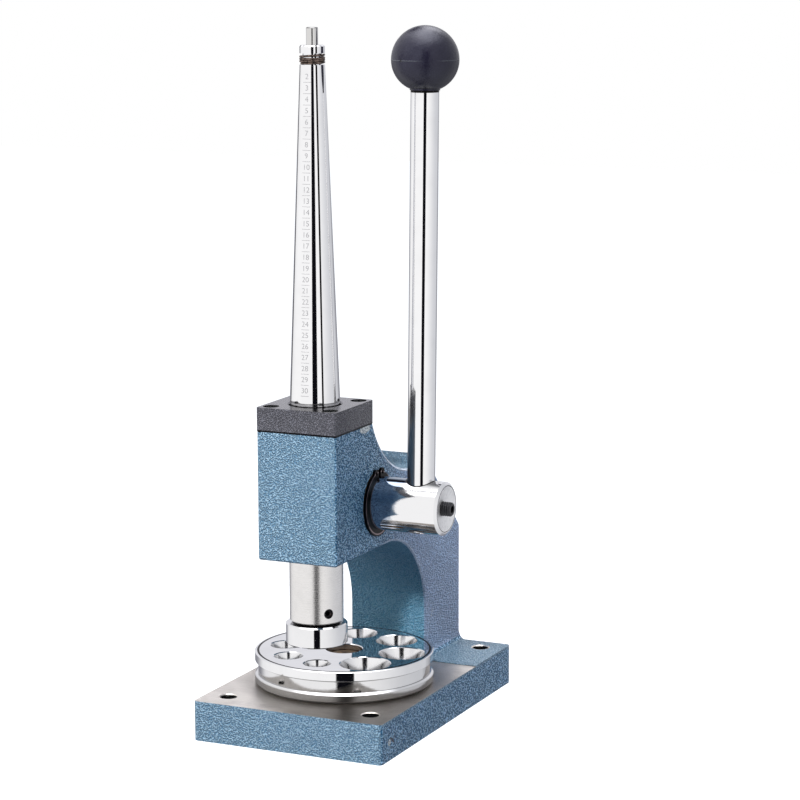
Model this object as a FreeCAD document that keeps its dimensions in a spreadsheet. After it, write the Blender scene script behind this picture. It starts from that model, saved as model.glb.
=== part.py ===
"""Ring stretcher and reducer: a parametric FreeCAD document, one labelled object for each sub-part.

Frame: millimetres, +Z up, origin in the middle of the base's underside. The user stands at -Y, and
the lever is on the +X side.
"""
import FreeCAD, Part
import math
import os
import Sketcher
from FreeCAD import Placement, Rotation, Vector

SIZES = [
    # base plate and its bolt holes
    ("base_width", 100.0), ("base_depth", 157.5), ("base_thick", 19.7), ("paint_step", 0.3),
    ("base_corner", 2.0), ("milled_margin", 2.7), ("bolt_inset_side", 12.0),
    ("bolt_inset_front", 13.65), ("bolt_inset_rear", 11.25), ("bolt_hole_radius", 4.0),
    ("hole_chamfer", 0.6),
    # column, throat, saddle and head of the casting
    ("frame_width", 41.5), ("column_front", 36.0), ("column_overhang", 1.25), ("column_foot_rise", 4.0),
    ("column_shoulder", 81.2), ("shoulder_round", 4.0), ("throat_radius", 44.0), ("head_bottom", 89.2),
    ("head_top", 151.8), ("saddle_low", 22.0), ("saddle_bottom", 122.0), ("ridge_back", 36.0),
    ("ridge_top", 126.9), ("ridge_round", 3.0),
    ("foot_blend", 4.0), ("cast_edge", 1.2),
    # cap on the head, and its screws
    ("cap_depth", 41.2), ("cap_thick", 11.4), ("cap_edge", 0.6), ("cap_hole_radius", 12.6),
    ("cap_hole_chamfer", 0.7), ("cap_screw_offset", 15.5), ("cap_screw_sink", 3.9),
    ("cap_screw_sink_depth", 6.0), ("cap_screw_radius", 2.0), ("cap_screw_head_radius", 3.5),
    ("cap_screw_head", 4.0), ("cap_screw_length", 15.0), ("cap_screw_socket", 1.7),
    # ram, rack and press foot
    ("ram_line", -45.0), ("ram_radius", 13.0), ("ram_bottom", 57.4), ("ram_top", 143.0),
    ("ram_edge", 0.8), ("rack_line", 11.5), ("rack_spaces", 8.0),
    ("foot_radius", 14.9), ("foot_bottom", 46.3), ("foot_top", 56.6), ("foot_edge", 0.6),
    ("foot_collar_radius", 11.0), ("foot_spigot_radius", 6.0), ("foot_spigot_length", 12.0),
    ("foot_screw_rise", 5.5), ("foot_screw_radius", 2.4), ("foot_screw_sink", 1.2),
    ("foot_screw_socket", 1.3), ("foot_screw_angle", -37.0),
    # pinion and cross shaft
    ("tooth_module", 1.5), ("pinion_teeth", 18.0), ("pressure_angle", 20.0), ("tooth_backlash", 0.14),
    ("dedendum_modules", 1.25),
    ("pinion_width", 14.0), ("shaft_rise", 111.95), ("hub_radius", 13.0), ("hub_end", 57.4),
    ("hub_edge", 1.2), ("hub_dish", 2.0), ("hub_dish_radius", 11.0), ("journal_radius", 7.5),
    ("bush_wall", 3.0), ("bush_inner_end", 10.0),
    ("left_bore_start", -7.6), ("key_width", 4.0), ("key_height", 4.0), ("key_sunk", 2.2),
    ("key_length", 12.0), ("ring_thick", 1.2), ("ring_sunk", 0.55), ("ring_radius", 15.8),
    ("ring_lug_radius", 2.1), ("ring_lug_spread", 13.0), ("ring_lug_overlap", 0.7),
    ("ring_eye_radius", 1.0), ("ring_gap", 2.1), ("ring_drop", 0.5), ("end_play", 0.2),
    ("washer_radius", 11.5), ("washer_thick", 2.0), ("end_screw_radius", 2.5),
    ("end_screw_head_radius", 4.5), ("end_screw_head", 2.8), ("end_screw_length", 12.0),
    ("end_screw_socket", 1.5),
    # lever, its set screw and its knob
    ("lever_offset", 43.95), ("lever_radius", 6.75), ("lever_lean", 1.48), ("lever_below", 12.2),
    ("lever_edge", 0.8),
    ("lever_length", 199.0), ("lever_stud_radius", 4.0), ("lever_stud_length", 15.0),
    ("lever_screw_radius", 3.5), ("lever_screw_end", 60.4), ("lever_screw_socket", 2.0),
    ("lever_screw_socket_depth", 4.0), ("lever_screw_edge", 0.6),
    ("knob_radius", 16.1), ("knob_rise", 213.2), ("knob_flat", 13.4),
    ("knob_flat_radius", 7.6), ("knob_step_radius", 7.2), ("knob_step", 0.8),
    ("insert_radius", 6.0), ("insert_length", 18.0),
    # mandrel leaves, their wire spring, and the core
    ("mandrel_radius", 12.0), ("mandrel_tip_radius", 5.95), ("cone_start", 165.0), ("cone_end", 323.4),
    ("groove_end", 328.7), ("groove_radius", 4.5), ("lip_end", 332.4), ("lip_edge", 0.5), ("kerf", 0.6),
    ("flange_radius", 16.5), ("flange_thick", 4.2), ("flange_room", 0.7), ("spring_wire_radius", 0.62),
    ("spring_room", 0.43), ("spring_pitch", 1.32), ("spring_turns", 2.9),
    ("wedge_start", 148.0), ("wedge_end", 300.0), ("wedge_start_radius", 2.1), ("wedge_end_radius", 4.2),
    ("wedge_gap", 0.06), ("neck_room", 2.5), ("pin_radius", 2.8), ("pin_room", 0.3),
    ("pin_top", 340.7), ("pin_edge", 0.4), ("core_thread_radius", 2.0), ("core_thread_length", 14.0),
    ("lock_nut_radius", 4.0), ("lock_nut_thick", 3.2),
    # die plate and the stud that it turns on
    ("die_radius", 44.1), ("die_top", 35.5), ("die_rim", 4.4), ("die_flange", 5.0),
    ("die_waist_radius", 42.5), ("die_edge", 1.0), ("die_lift", 0.05), ("die_pitch_radius", 30.0),
    ("die_first_angle", -90.0), ("die_spread", 1.15), ("die_seat_depth", 9.0), ("die_seat_narrowing", 2.4),
    ("die_mouth_chamfer", 0.35), ("die_centre_radius", 9.0), ("stud_radius", 6.0), ("stud_depth", 12.0),
    ("stud_below_top", 3.0), ("stud_edge", 0.8),
    # clearances: a shaft in its bore, a screw or spigot in its hole, and past the end of a thread;
    # over_cut is how far a cut runs on past the face that it leaves
    ("running_gap", 0.05), ("loose_gap", 0.2), ("thread_room", 1.0), ("over_cut", 1.0),
]
DIE_HOLES = [6.6, 12.3, 11.4, 10.4, 9.5, 8.6, 7.8, 7.1]
FULL_TURN = 360
HEXAGON_SIDES = 6
TOUCH = 0.01

doc = FreeCAD.newDocument("ring_stretcher")
sheet = doc.addObject("Spreadsheet::Sheet", "sizes")


class Size:
    """A number of the model that also knows its formula in the spreadsheet's names."""

    def __init__(self, value, formula):
        self.value = float(value)
        self.formula = formula

    def __add__(self, other):
        other = as_size(other)
        return Size(self.value + other.value, f"({self.formula} + {other.formula})")

    def __sub__(self, other):
        other = as_size(other)
        return Size(self.value - other.value, f"({self.formula} - {other.formula})")

    def __mul__(self, other):
        other = as_size(other)
        return Size(self.value * other.value, f"({self.formula} * {other.formula})")

    def __truediv__(self, other):
        other = as_size(other)
        return Size(self.value / other.value, f"({self.formula} / {other.formula})")

    def __radd__(self, other):
        return as_size(other) + self

    def __rsub__(self, other):
        return as_size(other) - self

    def __rmul__(self, other):
        return as_size(other) * self

    def __neg__(self):
        return Size(-self.value, f"(0 - {self.formula})")

    def cos(self):
        return Size(math.cos(math.radians(self.value)), f"cos({self.formula})")

    def sin(self):
        return Size(math.sin(math.radians(self.value)), f"sin({self.formula})")


def as_size(number):
    return number if isinstance(number, Size) else Size(number, repr(float(number)))


class Sizes:
    """The driving dimensions, written to the spreadsheet and read back by name."""

    def __init__(self, rows):
        for row, (name, value) in enumerate(rows, start=1):
            sheet.set(f"A{row}", name)
            sheet.set(f"B{row}", str(value))
            sheet.setAlias(f"B{row}", name)
            setattr(self, name, Size(value, f"sizes.{name}"))


mouth_names = [f"die_mouth_{number}" for number in range(1, len(DIE_HOLES) + 1)]
s = Sizes(SIZES + list(zip(mouth_names, DIE_HOLES)))
mouths = [getattr(s, name) for name in mouth_names]

# Places that several pieces share.
pitch_radius = s.tooth_module * s.pinion_teeth / 2
tip_radius = pitch_radius + s.tooth_module
tooth_root_depth = s.dedendum_modules * s.tooth_module
root_radius = pitch_radius - tooth_root_depth
shaft_line = s.ram_line + s.rack_line + pitch_radius
half_width = s.frame_width / 2
column_rear = s.base_depth / 2 + s.column_overhang
milled_back = s.column_front - s.milled_margin
bolt_across = s.base_width / 2 - s.bolt_inset_side
bolt_rows = (s.bolt_inset_front - s.base_depth / 2, s.base_depth / 2 - s.bolt_inset_rear)
head_front = s.ram_line - s.cap_depth / 2
head_rear = s.ram_line + s.cap_depth / 2
cap_top = s.head_top + s.cap_thick
flange_floor = s.head_top - s.flange_thick - 2 * s.running_gap
right_bore_radius = s.hub_radius + s.bush_wall
left_bore_radius = s.journal_radius + s.bush_wall
spring_radius = s.groove_radius + s.spring_room + s.spring_wire_radius
die_line = s.ram_line + s.die_pitch_radius
cap_screw_bottom = cap_top - s.cap_screw_sink_depth - s.cap_screw_length
lever_seat = s.lever_offset + s.lever_radius


def bind(thing, prop, size):
    """Tie a property to its formula in the spreadsheet's names."""
    thing.setExpression(prop, as_size(size).formula)


def place(thing, x=0, y=0, z=0, turn=Rotation()):
    """Put an object somewhere, with its coordinates tied to the spreadsheet."""
    thing.Placement = Placement(Vector(as_size(x).value, as_size(y).value, as_size(z).value), turn)
    for axis, size in (("x", x), ("y", y), ("z", z)):
        bind(thing, f"Placement.Base.{axis}", size)
    return thing


def new_body(label, x=0, y=0, z=0, turn=Rotation()):
    body = doc.addObject("PartDesign::Body", label)
    body.Label = label
    return place(body, x, y, z, turn)


def new_sketch(body, plane, lift=0):
    """A sketch on one of the body's own planes, moved along that plane's normal by lift."""
    sketch = body.newObject("Sketcher::SketchObject", "sketch")
    support = next(part for part in body.Origin.OriginFeatures if part.Role == plane)
    sketch.AttachmentSupport = [(support, "")]
    sketch.MapMode = "FlatFace"
    sketch.AttachmentOffset = Placement(Vector(0, 0, as_size(lift).value), Rotation())
    bind(sketch, "AttachmentOffset.Base.z", lift)
    return sketch


def bind_constraint(sketch, kind, *references, size):
    index = sketch.addConstraint(Sketcher.Constraint(kind, *references, as_size(size).value))
    bind(sketch, f"Constraints[{index}]", size)


def draw_outline(sketch, corners):
    """A closed outline through corners (across, up) or (across, up, radius).

    A radius makes the side that leaves that corner an arc: positive bends it to the left of the way
    round, negative to the right.
    """
    count = len(corners)
    points = [Vector(as_size(c[0]).value, as_size(c[1]).value, 0) for c in corners]
    first = sketch.GeometryCount
    ends = []
    for index, corner in enumerate(corners):
        start, end = points[index], points[(index + 1) % count]
        if len(corner) == 2:
            sketch.addGeometry(Part.LineSegment(start, end))
            ends.append((1, 2))
            continue
        radius = as_size(corner[2]).value
        chord = end - start
        side = math.copysign(1, radius)
        height = math.sqrt(radius ** 2 - (chord.Length / 2) ** 2)
        centre = (start + end) / 2 + Vector(-chord.y, chord.x, 0).normalize() * height * side
        angles = [math.atan2(point.y - centre.y, point.x - centre.x) for point in (start, end)]
        begin, finish = angles if side > 0 else reversed(angles)
        finish = finish if finish > begin else finish + 2 * math.pi
        circle = Part.Circle(centre, Vector(0, 0, 1), abs(radius))
        sketch.addGeometry(Part.ArcOfCircle(circle, begin, finish))
        ends.append((1, 2) if side > 0 else (2, 1))
    for index, corner in enumerate(corners):
        follower = (index + 1) % count
        joint = (first + index, ends[index][1], first + follower, ends[follower][0])
        sketch.addConstraint(Sketcher.Constraint("Coincident", *joint))
        vertex = (first + index, ends[index][0])
        bind_constraint(sketch, "DistanceX", -1, 1, *vertex, size=corner[0])
        bind_constraint(sketch, "DistanceY", -1, 1, *vertex, size=corner[1])
        if len(corner) == 3:
            size = corner[2] if as_size(corner[2]).value > 0 else -as_size(corner[2])
            bind_constraint(sketch, "Radius", first + index, size=size)


def draw_circle(sketch, across, up, radius):
    centre = Vector(as_size(across).value, as_size(up).value, 0)
    index = sketch.addGeometry(Part.Circle(centre, Vector(0, 0, 1), as_size(radius).value))
    bind_constraint(sketch, "DistanceX", -1, 1, index, 3, size=across)
    bind_constraint(sketch, "DistanceY", -1, 1, index, 3, size=up)
    bind_constraint(sketch, "Radius", index, size=radius)


def rectangle(across, up, width, height):
    """Corners of a rectangle about a middle point."""
    return [(across - width / 2, up - height / 2), (across + width / 2, up - height / 2),
            (across + width / 2, up + height / 2), (across - width / 2, up + height / 2)]


def extrude(body, kind, sketch, length, midplane=False, reverse=False):
    """A pad or a pocket of a sketch."""
    feature = body.newObject(f"PartDesign::{kind}", kind.lower())
    feature.Profile = sketch
    feature.Midplane = midplane
    feature.Reversed = reverse
    bind(feature, "Length", length)
    doc.recompute()
    return feature


def turn_profile(body, corners, axis="V_Axis", plane="XZ_Plane", kind="Revolution"):
    """A turned solid from half its section: across is the radius on V_Axis, up on H_Axis."""
    sketch = new_sketch(body, plane)
    draw_outline(sketch, corners)
    feature = body.newObject(f"PartDesign::{kind}", kind.lower())
    feature.Profile = sketch
    feature.ReferenceAxis = (sketch, [axis])
    feature.Angle = FULL_TURN
    doc.recompute()
    return feature


def edges_where(shape, test):
    return [f"Edge{number}" for number, edge in enumerate(shape.Edges, start=1) if test(edge)]


def dress(body, kind, size, test):
    """A fillet or chamfer on the edges of the body's last shape that pass a test."""
    base = body.Tip
    feature = body.newObject(f"PartDesign::{kind}", kind.lower())
    feature.Base = (base, edges_where(base.Shape, test))
    bind(feature, "Radius" if kind == "Fillet" else "Size", size)
    doc.recompute()
    return feature


def near(value, size):
    return abs(value - as_size(size).value) < TOUCH


def cylinder(radius, length, x=0, y=0, z=0, turn=Rotation()):
    thing = doc.addObject("Part::Cylinder", "cylinder")
    bind(thing, "Radius", radius)
    bind(thing, "Height", length)
    return place(thing, x, y, z, turn)


def cone(low_radius, high_radius, length, x=0, y=0, z=0):
    thing = doc.addObject("Part::Cone", "cone")
    bind(thing, "Radius1", low_radius)
    bind(thing, "Radius2", high_radius)
    bind(thing, "Height", length)
    return place(thing, x, y, z)


def box(width, depth, height, x=0, y=0, z=0, turn=Rotation()):
    thing = doc.addObject("Part::Box", "box")
    for prop, size in (("Length", width), ("Width", depth), ("Height", height)):
        bind(thing, prop, size)
    return place(thing, x, y, z, turn)


def hexagon(radius, length, x=0, y=0, z=0, turn=Rotation()):
    thing = doc.addObject("Part::Prism", "hexagon")
    thing.Polygon = HEXAGON_SIDES
    bind(thing, "Circumradius", radius)
    bind(thing, "Height", length)
    return place(thing, x, y, z, turn)


def fuse(*shapes):
    joined = doc.addObject("Part::MultiFuse", "fuse")
    joined.Shapes = list(shapes)
    return joined


def cut(base, tool):
    result = doc.addObject("Part::Cut", "cut")
    result.Base = base
    result.Tool = tool
    return result


def group(*shapes):
    together = doc.addObject("Part::Compound", "group")
    together.Links = list(shapes)
    return together


def named(thing, label):
    thing.Label = label
    return thing


ALONG_X = Rotation(Vector(0, 1, 0), 90)
LEVER_TURN = Rotation(Vector(1, 0, 0), -s.lever_lean.value)


def level_arc_radius(run, rise):
    """Radius of an arc that starts level and climbs by rise over run."""
    return (run * run + rise * rise) / (2 * rise)


def make_frame_casting():
    """Base plate, column and head in one casting, with its machined faces and bores."""
    body = new_body("frame_casting")
    floor_top = s.base_thick + s.paint_step

    plate = new_sketch(body, "XY_Plane")
    draw_outline(plate, rectangle(as_size(0), as_size(0), s.base_width, s.base_depth))
    extrude(body, "Pad", plate, floor_top)
    dress(body, "Fillet", s.base_corner,
          lambda edge: near(edge.BoundBox.ZLength, floor_top))

    profile = new_sketch(body, "YZ_Plane")
    draw_outline(profile, [
        (s.base_depth / 2, s.base_thick / 2),
        (s.base_depth / 2, floor_top),
        (column_rear, floor_top + s.column_foot_rise),
        (column_rear, s.column_shoulder),
        (s.ridge_back, s.ridge_top,
         -level_arc_radius(s.ridge_back - s.saddle_low, s.ridge_top - s.saddle_bottom)),
        (s.saddle_low, s.saddle_bottom,
         -level_arc_radius(s.saddle_low - head_rear, s.head_top - s.saddle_bottom)),
        (head_rear, s.head_top),
        (head_front, s.head_top),
        (head_front, s.head_bottom),
        (s.column_front - s.throat_radius, s.head_bottom, -s.throat_radius),
        (s.column_front, s.head_bottom - s.throat_radius),
        (s.column_front, s.base_thick / 2),
    ])
    extrude(body, "Pad", profile, s.frame_width, midplane=True)

    def across_edge(edge, y, z):
        box = edge.BoundBox
        return (near(box.XLength, s.frame_width) and near(box.Center.y, y) and near(box.Center.z, z))

    dress(body, "Fillet", s.ridge_round, lambda edge: across_edge(edge, s.ridge_back, s.ridge_top))
    dress(body, "Fillet", s.shoulder_round,
          lambda edge: across_edge(edge, column_rear, s.column_shoulder))

    def at_foot(edge):
        box = edge.BoundBox
        on_floor = near(box.ZMin, floor_top) and near(box.ZMax, floor_top)
        in_plan = box.XMax < half_width.value + TOUCH and box.XMin > -half_width.value - TOUCH
        return on_floor and in_plan and box.YMax < s.base_depth.value / 2 - TOUCH

    def on_floor_beside_column(edge):
        box = edge.BoundBox
        return (near(box.ZMin, floor_top) and near(box.ZMax, floor_top)
                and near(abs(box.Center.x), half_width) and near(box.XLength, 0))

    dress(body, "Fillet", s.foot_blend,
          lambda edge: at_foot(edge) or on_floor_beside_column(edge))

    def on_side_face(edge):
        box = edge.BoundBox
        on_side = near(box.XLength, 0) and near(abs(box.Center.x), half_width)
        above_blend = box.Center.z > floor_top.value + s.foot_blend.value + TOUCH
        return on_side and above_blend

    def beside_cap(edge):
        return near(edge.BoundBox.ZMin, s.head_top)

    def rounded_in_the_mould(edge):
        return (on_side_face(edge) or across_edge(edge, head_front, s.head_bottom)) and not beside_cap(edge)

    dress(body, "Fillet", s.cast_edge, rounded_in_the_mould)

    milled = new_sketch(body, "XY_Plane", s.base_thick)
    draw_outline(milled, rectangle(as_size(0), (milled_back - s.base_depth) / 2,
                                   2 * s.base_width, milled_back + s.base_depth))
    extrude(body, "Pocket", milled, s.paint_step + s.foot_blend + s.over_cut, reverse=True)

    bolts = new_sketch(body, "XY_Plane")
    for row in bolt_rows:
        draw_circle(bolts, -bolt_across, row, s.bolt_hole_radius)
        draw_circle(bolts, bolt_across, row, s.bolt_hole_radius)
    extrude(body, "Pocket", bolts, floor_top, reverse=True)
    dress(body, "Chamfer", s.hole_chamfer,
          lambda edge: near(edge.BoundBox.XLength, 2 * s.bolt_hole_radius)
          and edge.BoundBox.ZMin > s.base_thick.value - TOUCH)

    ram_bore = new_sketch(body, "XY_Plane", s.head_top)
    draw_circle(ram_bore, 0, s.ram_line, s.ram_radius + s.running_gap)
    extrude(body, "Pocket", ram_bore, s.head_top - s.head_bottom + s.over_cut)

    flange_recess = new_sketch(body, "XY_Plane", s.head_top)
    draw_circle(flange_recess, 0, s.ram_line, s.flange_radius + s.flange_room)
    extrude(body, "Pocket", flange_recess, s.head_top - flange_floor)

    tapped = new_sketch(body, "XY_Plane", s.head_top)
    for side_x in (-1, 1):
        for side_y in (-1, 1):
            draw_circle(tapped, side_x * s.cap_screw_offset,
                        s.ram_line + side_y * s.cap_screw_offset, s.cap_screw_radius)
    extrude(body, "Pocket", tapped, s.head_top - cap_screw_bottom + s.thread_room)

    right_bore = new_sketch(body, "YZ_Plane", half_width)
    draw_circle(right_bore, shaft_line, s.shaft_rise, right_bore_radius)
    extrude(body, "Pocket", right_bore, half_width - s.left_bore_start)

    left_bore = new_sketch(body, "YZ_Plane")
    draw_circle(left_bore, shaft_line, s.shaft_rise, left_bore_radius)
    extrude(body, "Pocket", left_bore, half_width + s.over_cut)

    stud_hole = new_sketch(body, "XY_Plane", s.base_thick)
    draw_circle(stud_hole, 0, die_line, s.stud_radius)
    extrude(body, "Pocket", stud_hole, s.stud_depth)


def make_mandrel_cap():
    """Square plate that holds the mandrel's flanges down, with four sunk screw holes."""
    body = new_body("mandrel_cap", 0, s.ram_line, s.head_top)
    plate = new_sketch(body, "XY_Plane")
    draw_outline(plate, rectangle(as_size(0), as_size(0), s.frame_width, s.cap_depth))
    extrude(body, "Pad", plate, s.cap_thick)
    dress(body, "Fillet", s.cap_edge, lambda edge: near(edge.BoundBox.ZLength, s.cap_thick))

    middle = new_sketch(body, "XY_Plane", s.cap_thick)
    draw_circle(middle, 0, 0, s.cap_hole_radius)
    extrude(body, "Pocket", middle, s.cap_thick)
    dress(body, "Chamfer", s.cap_hole_chamfer,
          lambda edge: near(edge.BoundBox.XLength, 2 * s.cap_hole_radius)
          and near(edge.BoundBox.ZMin, s.cap_thick))

    for radius, depth in ((s.cap_screw_sink, s.cap_screw_sink_depth),
                          (s.cap_screw_radius + s.loose_gap, s.cap_thick)):
        holes = new_sketch(body, "XY_Plane", s.cap_thick)
        for side_x in (-1, 1):
            for side_y in (-1, 1):
                draw_circle(holes, side_x * s.cap_screw_offset, side_y * s.cap_screw_offset, radius)
        extrude(body, "Pocket", holes, depth)


def make_cap_screws():
    """Four socket-head screws, sunk in the cap and threaded into the head."""
    screws = []
    for side_x in (-1, 1):
        for side_y in (-1, 1):
            spot = (side_x * s.cap_screw_offset, s.ram_line + side_y * s.cap_screw_offset)
            seat = cap_top - s.cap_screw_sink_depth
            shank = cylinder(s.cap_screw_radius, s.cap_screw_length, *spot, cap_screw_bottom)
            head = cylinder(s.cap_screw_head_radius, s.cap_screw_head, *spot, seat)
            socket = hexagon(s.cap_screw_socket, s.cap_screw_head, *spot, seat + s.cap_screw_head / 2)
            screws.append(cut(fuse(shank, head), socket))
    named(group(*screws), "cap_screws")


def make_mandrel_leaves():
    """Four quarters of a split cone, each with a piece of the flange that the cap holds."""
    wedge_rate = (s.wedge_end_radius - s.wedge_start_radius) / (s.wedge_end - s.wedge_start)
    bottom = flange_floor + s.running_gap
    flange_top = bottom + s.flange_thick
    shoulder = s.wedge_end + s.neck_room
    bore_start = s.wedge_start_radius + s.wedge_gap + (bottom - s.wedge_start) * wedge_rate
    bore_end = s.wedge_end_radius + s.wedge_gap + s.neck_room * wedge_rate
    pin_bore = s.pin_radius + s.pin_room
    reach = 2 * s.flange_radius
    cleared = s.kerf / 2 * math.sqrt(2)
    for turn, side in enumerate(("front", "right", "rear", "left")):
        leaf = new_body(f"mandrel_leaf_{side}", 0, s.ram_line, 0, Rotation(Vector(0, 0, 1), 90 * turn))
        turn_profile(leaf, [
            (bore_start, bottom), (s.flange_radius, bottom), (s.flange_radius, flange_top),
            (s.mandrel_radius, flange_top), (s.mandrel_radius, s.cone_start),
            (s.mandrel_tip_radius, s.cone_end), (s.groove_radius, s.cone_end),
            (s.groove_radius, s.groove_end), (s.mandrel_tip_radius, s.groove_end),
            (s.mandrel_tip_radius, s.lip_end - s.lip_edge),
            (s.mandrel_tip_radius - s.lip_edge, s.lip_end), (pin_bore, s.lip_end),
            (pin_bore, shoulder), (bore_end, shoulder),
        ])
        quarter = new_sketch(leaf, "XY_Plane")
        draw_outline(quarter, rectangle(as_size(0), as_size(0), 4 * reach, 4 * reach))
        draw_outline(quarter, [(0, -cleared), (-reach, -cleared - reach), (reach, -cleared - reach)])
        extrude(leaf, "Pocket", quarter, s.lip_end + s.over_cut, reverse=True)


def make_leaf_spring():
    """Coil of spring wire that holds the leaves together in their groove."""
    height = s.spring_pitch * s.spring_turns
    body = new_body("leaf_spring", 0, s.ram_line, (s.cone_end + s.groove_end - height) / 2)
    wire = new_sketch(body, "XZ_Plane")
    draw_circle(wire, spring_radius, 0, s.spring_wire_radius)
    coil = body.newObject("PartDesign::AdditiveHelix", "coil")
    coil.Profile = wire
    coil.ReferenceAxis = (wire, ["V_Axis"])
    coil.Mode = "pitch-turns-angle"
    bind(coil, "Pitch", s.spring_pitch)
    bind(coil, "Turns", s.spring_turns)
    doc.recompute()


def make_core_rod():
    """Tapered rod in the mandrel, screwed into the ram, wider towards the top."""
    body = new_body("core_rod", 0, s.ram_line, 0)
    turn_profile(body, [
        (0, s.ram_top - s.core_thread_length), (s.core_thread_radius, s.ram_top - s.core_thread_length),
        (s.core_thread_radius, s.wedge_start - s.core_thread_radius / 2),
        (s.wedge_start_radius, s.wedge_start), (s.wedge_end_radius, s.wedge_end),
        (s.pin_radius, s.wedge_end + (s.wedge_end_radius - s.pin_radius)),
        (s.pin_radius, s.pin_top - s.pin_edge), (s.pin_radius - s.pin_edge, s.pin_top),
        (0, s.pin_top),
    ])


def make_core_lock_nut():
    """Thin nut that locks the core rod on the ram."""
    nut = cut(hexagon(s.lock_nut_radius, s.lock_nut_thick, 0, s.ram_line, s.ram_top),
              cylinder(s.core_thread_radius, s.lock_nut_thick, 0, s.ram_line, s.ram_top))
    named(nut, "core_lock_nut")


def make_ram():
    """Round bar with rack teeth cut across its rear and a socket for the press foot."""
    body = new_body("ram_blank", 0, s.ram_line, 0)
    socket_top = s.ram_bottom + s.foot_spigot_length + s.loose_gap
    thread_bottom = s.ram_top - s.core_thread_length - s.thread_room
    turn_profile(body, [
        (s.foot_spigot_radius, s.ram_bottom), (s.ram_radius - s.ram_edge, s.ram_bottom),
        (s.ram_radius, s.ram_bottom + s.ram_edge), (s.ram_radius, s.ram_top - s.ram_edge),
        (s.ram_radius - s.ram_edge, s.ram_top), (s.core_thread_radius, s.ram_top),
        (s.core_thread_radius, thread_bottom), (0, thread_bottom), (0, socket_top),
        (s.foot_spigot_radius, socket_top),
    ])
    slope = math.tan(math.radians(s.pressure_angle.value))
    tooth_pitch = math.pi * s.tooth_module
    half_space = tooth_pitch / 4 + s.tooth_backlash / 2
    root = s.rack_line - tooth_root_depth
    outside = s.ram_radius + s.over_cut
    half_root = half_space - tooth_root_depth * slope
    half_mouth = half_space + (outside - s.rack_line) * slope
    first = s.shaft_rise - tooth_pitch * 2
    space = new_sketch(body, "YZ_Plane")
    draw_outline(space, [(root, first - half_root), (outside, first - half_mouth),
                         (outside, first + half_mouth), (root, first + half_root)])
    tooth_space = extrude(body, "Pocket", space, 4 * s.ram_radius, midplane=True)
    rack = body.newObject("PartDesign::LinearPattern", "rack")
    rack.Originals = [tooth_space]
    rack.Direction = (space, ["V_Axis"])
    rack.Occurrences = int(s.rack_spaces.value)
    bind(rack, "Length", tooth_pitch * (s.rack_spaces - 1))
    body.Tip = rack
    doc.recompute()
    turn = Rotation(Vector(0, 0, 1), s.foot_screw_angle.value) * ALONG_X
    hole = cylinder(s.foot_screw_radius, 2 * s.ram_radius, 0, s.ram_line,
                    s.ram_bottom + s.foot_screw_rise, turn)
    named(cut(body, hole), "ram")


def make_press_foot():
    """Polished foot that bears on the ring, on a spigot in the ram."""
    body = new_body("press_foot", 0, s.ram_line, 0)
    turn_profile(body, [
        (0, s.foot_bottom), (s.foot_radius - s.foot_edge, s.foot_bottom),
        (s.foot_radius, s.foot_bottom + s.foot_edge), (s.foot_radius, s.foot_top - s.foot_edge),
        (s.foot_radius - s.foot_edge, s.foot_top), (s.foot_collar_radius, s.foot_top),
        (s.foot_collar_radius, s.ram_bottom), (s.foot_spigot_radius, s.ram_bottom),
        (s.foot_spigot_radius, s.ram_bottom + s.foot_spigot_length),
        (0, s.ram_bottom + s.foot_spigot_length),
    ])


def make_foot_set_screw():
    """Grub screw through the ram's wall onto the foot's spigot."""
    heading = s.foot_screw_angle
    turn = Rotation(Vector(0, 0, 1), heading.value) * ALONG_X
    rise = s.ram_bottom + s.foot_screw_rise
    start = s.foot_spigot_radius
    length = s.ram_radius - s.foot_spigot_radius - s.foot_screw_sink
    spot = (start * heading.cos(), s.ram_line + start * heading.sin(), rise)
    screw = cylinder(s.foot_screw_radius, length, *spot, turn)
    middle = start + length / 2
    socket = hexagon(s.foot_screw_socket, length, middle * heading.cos(),
                     s.ram_line + middle * heading.sin(), rise, turn)
    named(cut(screw, socket), "foot_set_screw")


def make_die_plate():
    """Turned plate with a waist, a centre hole for its stud and eight tapered ring seats."""
    bottom = s.base_thick + s.die_lift
    blank = new_body("die_plate_blank", 0, die_line, 0)
    turn_profile(blank, [
        (s.die_centre_radius, bottom), (s.die_radius - s.die_edge, bottom),
        (s.die_radius, bottom + s.die_edge), (s.die_radius, bottom + s.die_flange - s.die_edge),
        (s.die_radius - s.die_edge, bottom + s.die_flange), (s.die_waist_radius, bottom + s.die_flange),
        (s.die_waist_radius, s.die_top - s.die_rim), (s.die_radius, s.die_top - s.die_rim),
        (s.die_radius, s.die_top - s.die_mouth_chamfer),
        (s.die_radius - s.die_mouth_chamfer, s.die_top),
        (s.die_centre_radius + s.die_mouth_chamfer, s.die_top),
        (s.die_centre_radius, s.die_top - s.die_mouth_chamfer),
    ])
    mean_pair = 2 * sum(mouths, as_size(0)) / len(mouths)
    angle = s.die_first_angle
    tools = []
    for index, mouth in enumerate(mouths):
        spot = (s.die_pitch_radius * angle.cos(), die_line + s.die_pitch_radius * angle.sin())
        bore = mouth - s.die_seat_narrowing
        seat_bottom = s.die_top - s.die_seat_depth
        tools.append(cylinder(bore, s.die_top - bottom + 2 * s.over_cut, *spot, bottom - s.over_cut))
        tools.append(cone(bore, mouth, s.die_seat_depth, *spot, seat_bottom))
        tools.append(cone(mouth, mouth + s.die_mouth_chamfer, s.die_mouth_chamfer, *spot,
                          s.die_top - s.die_mouth_chamfer))
        follower = mouths[(index + 1) % len(mouths)]
        angle = angle + FULL_TURN / len(mouths) + s.die_spread * (mouth + follower - mean_pair)
    named(cut(blank, fuse(*tools)), "die_plate")


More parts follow.
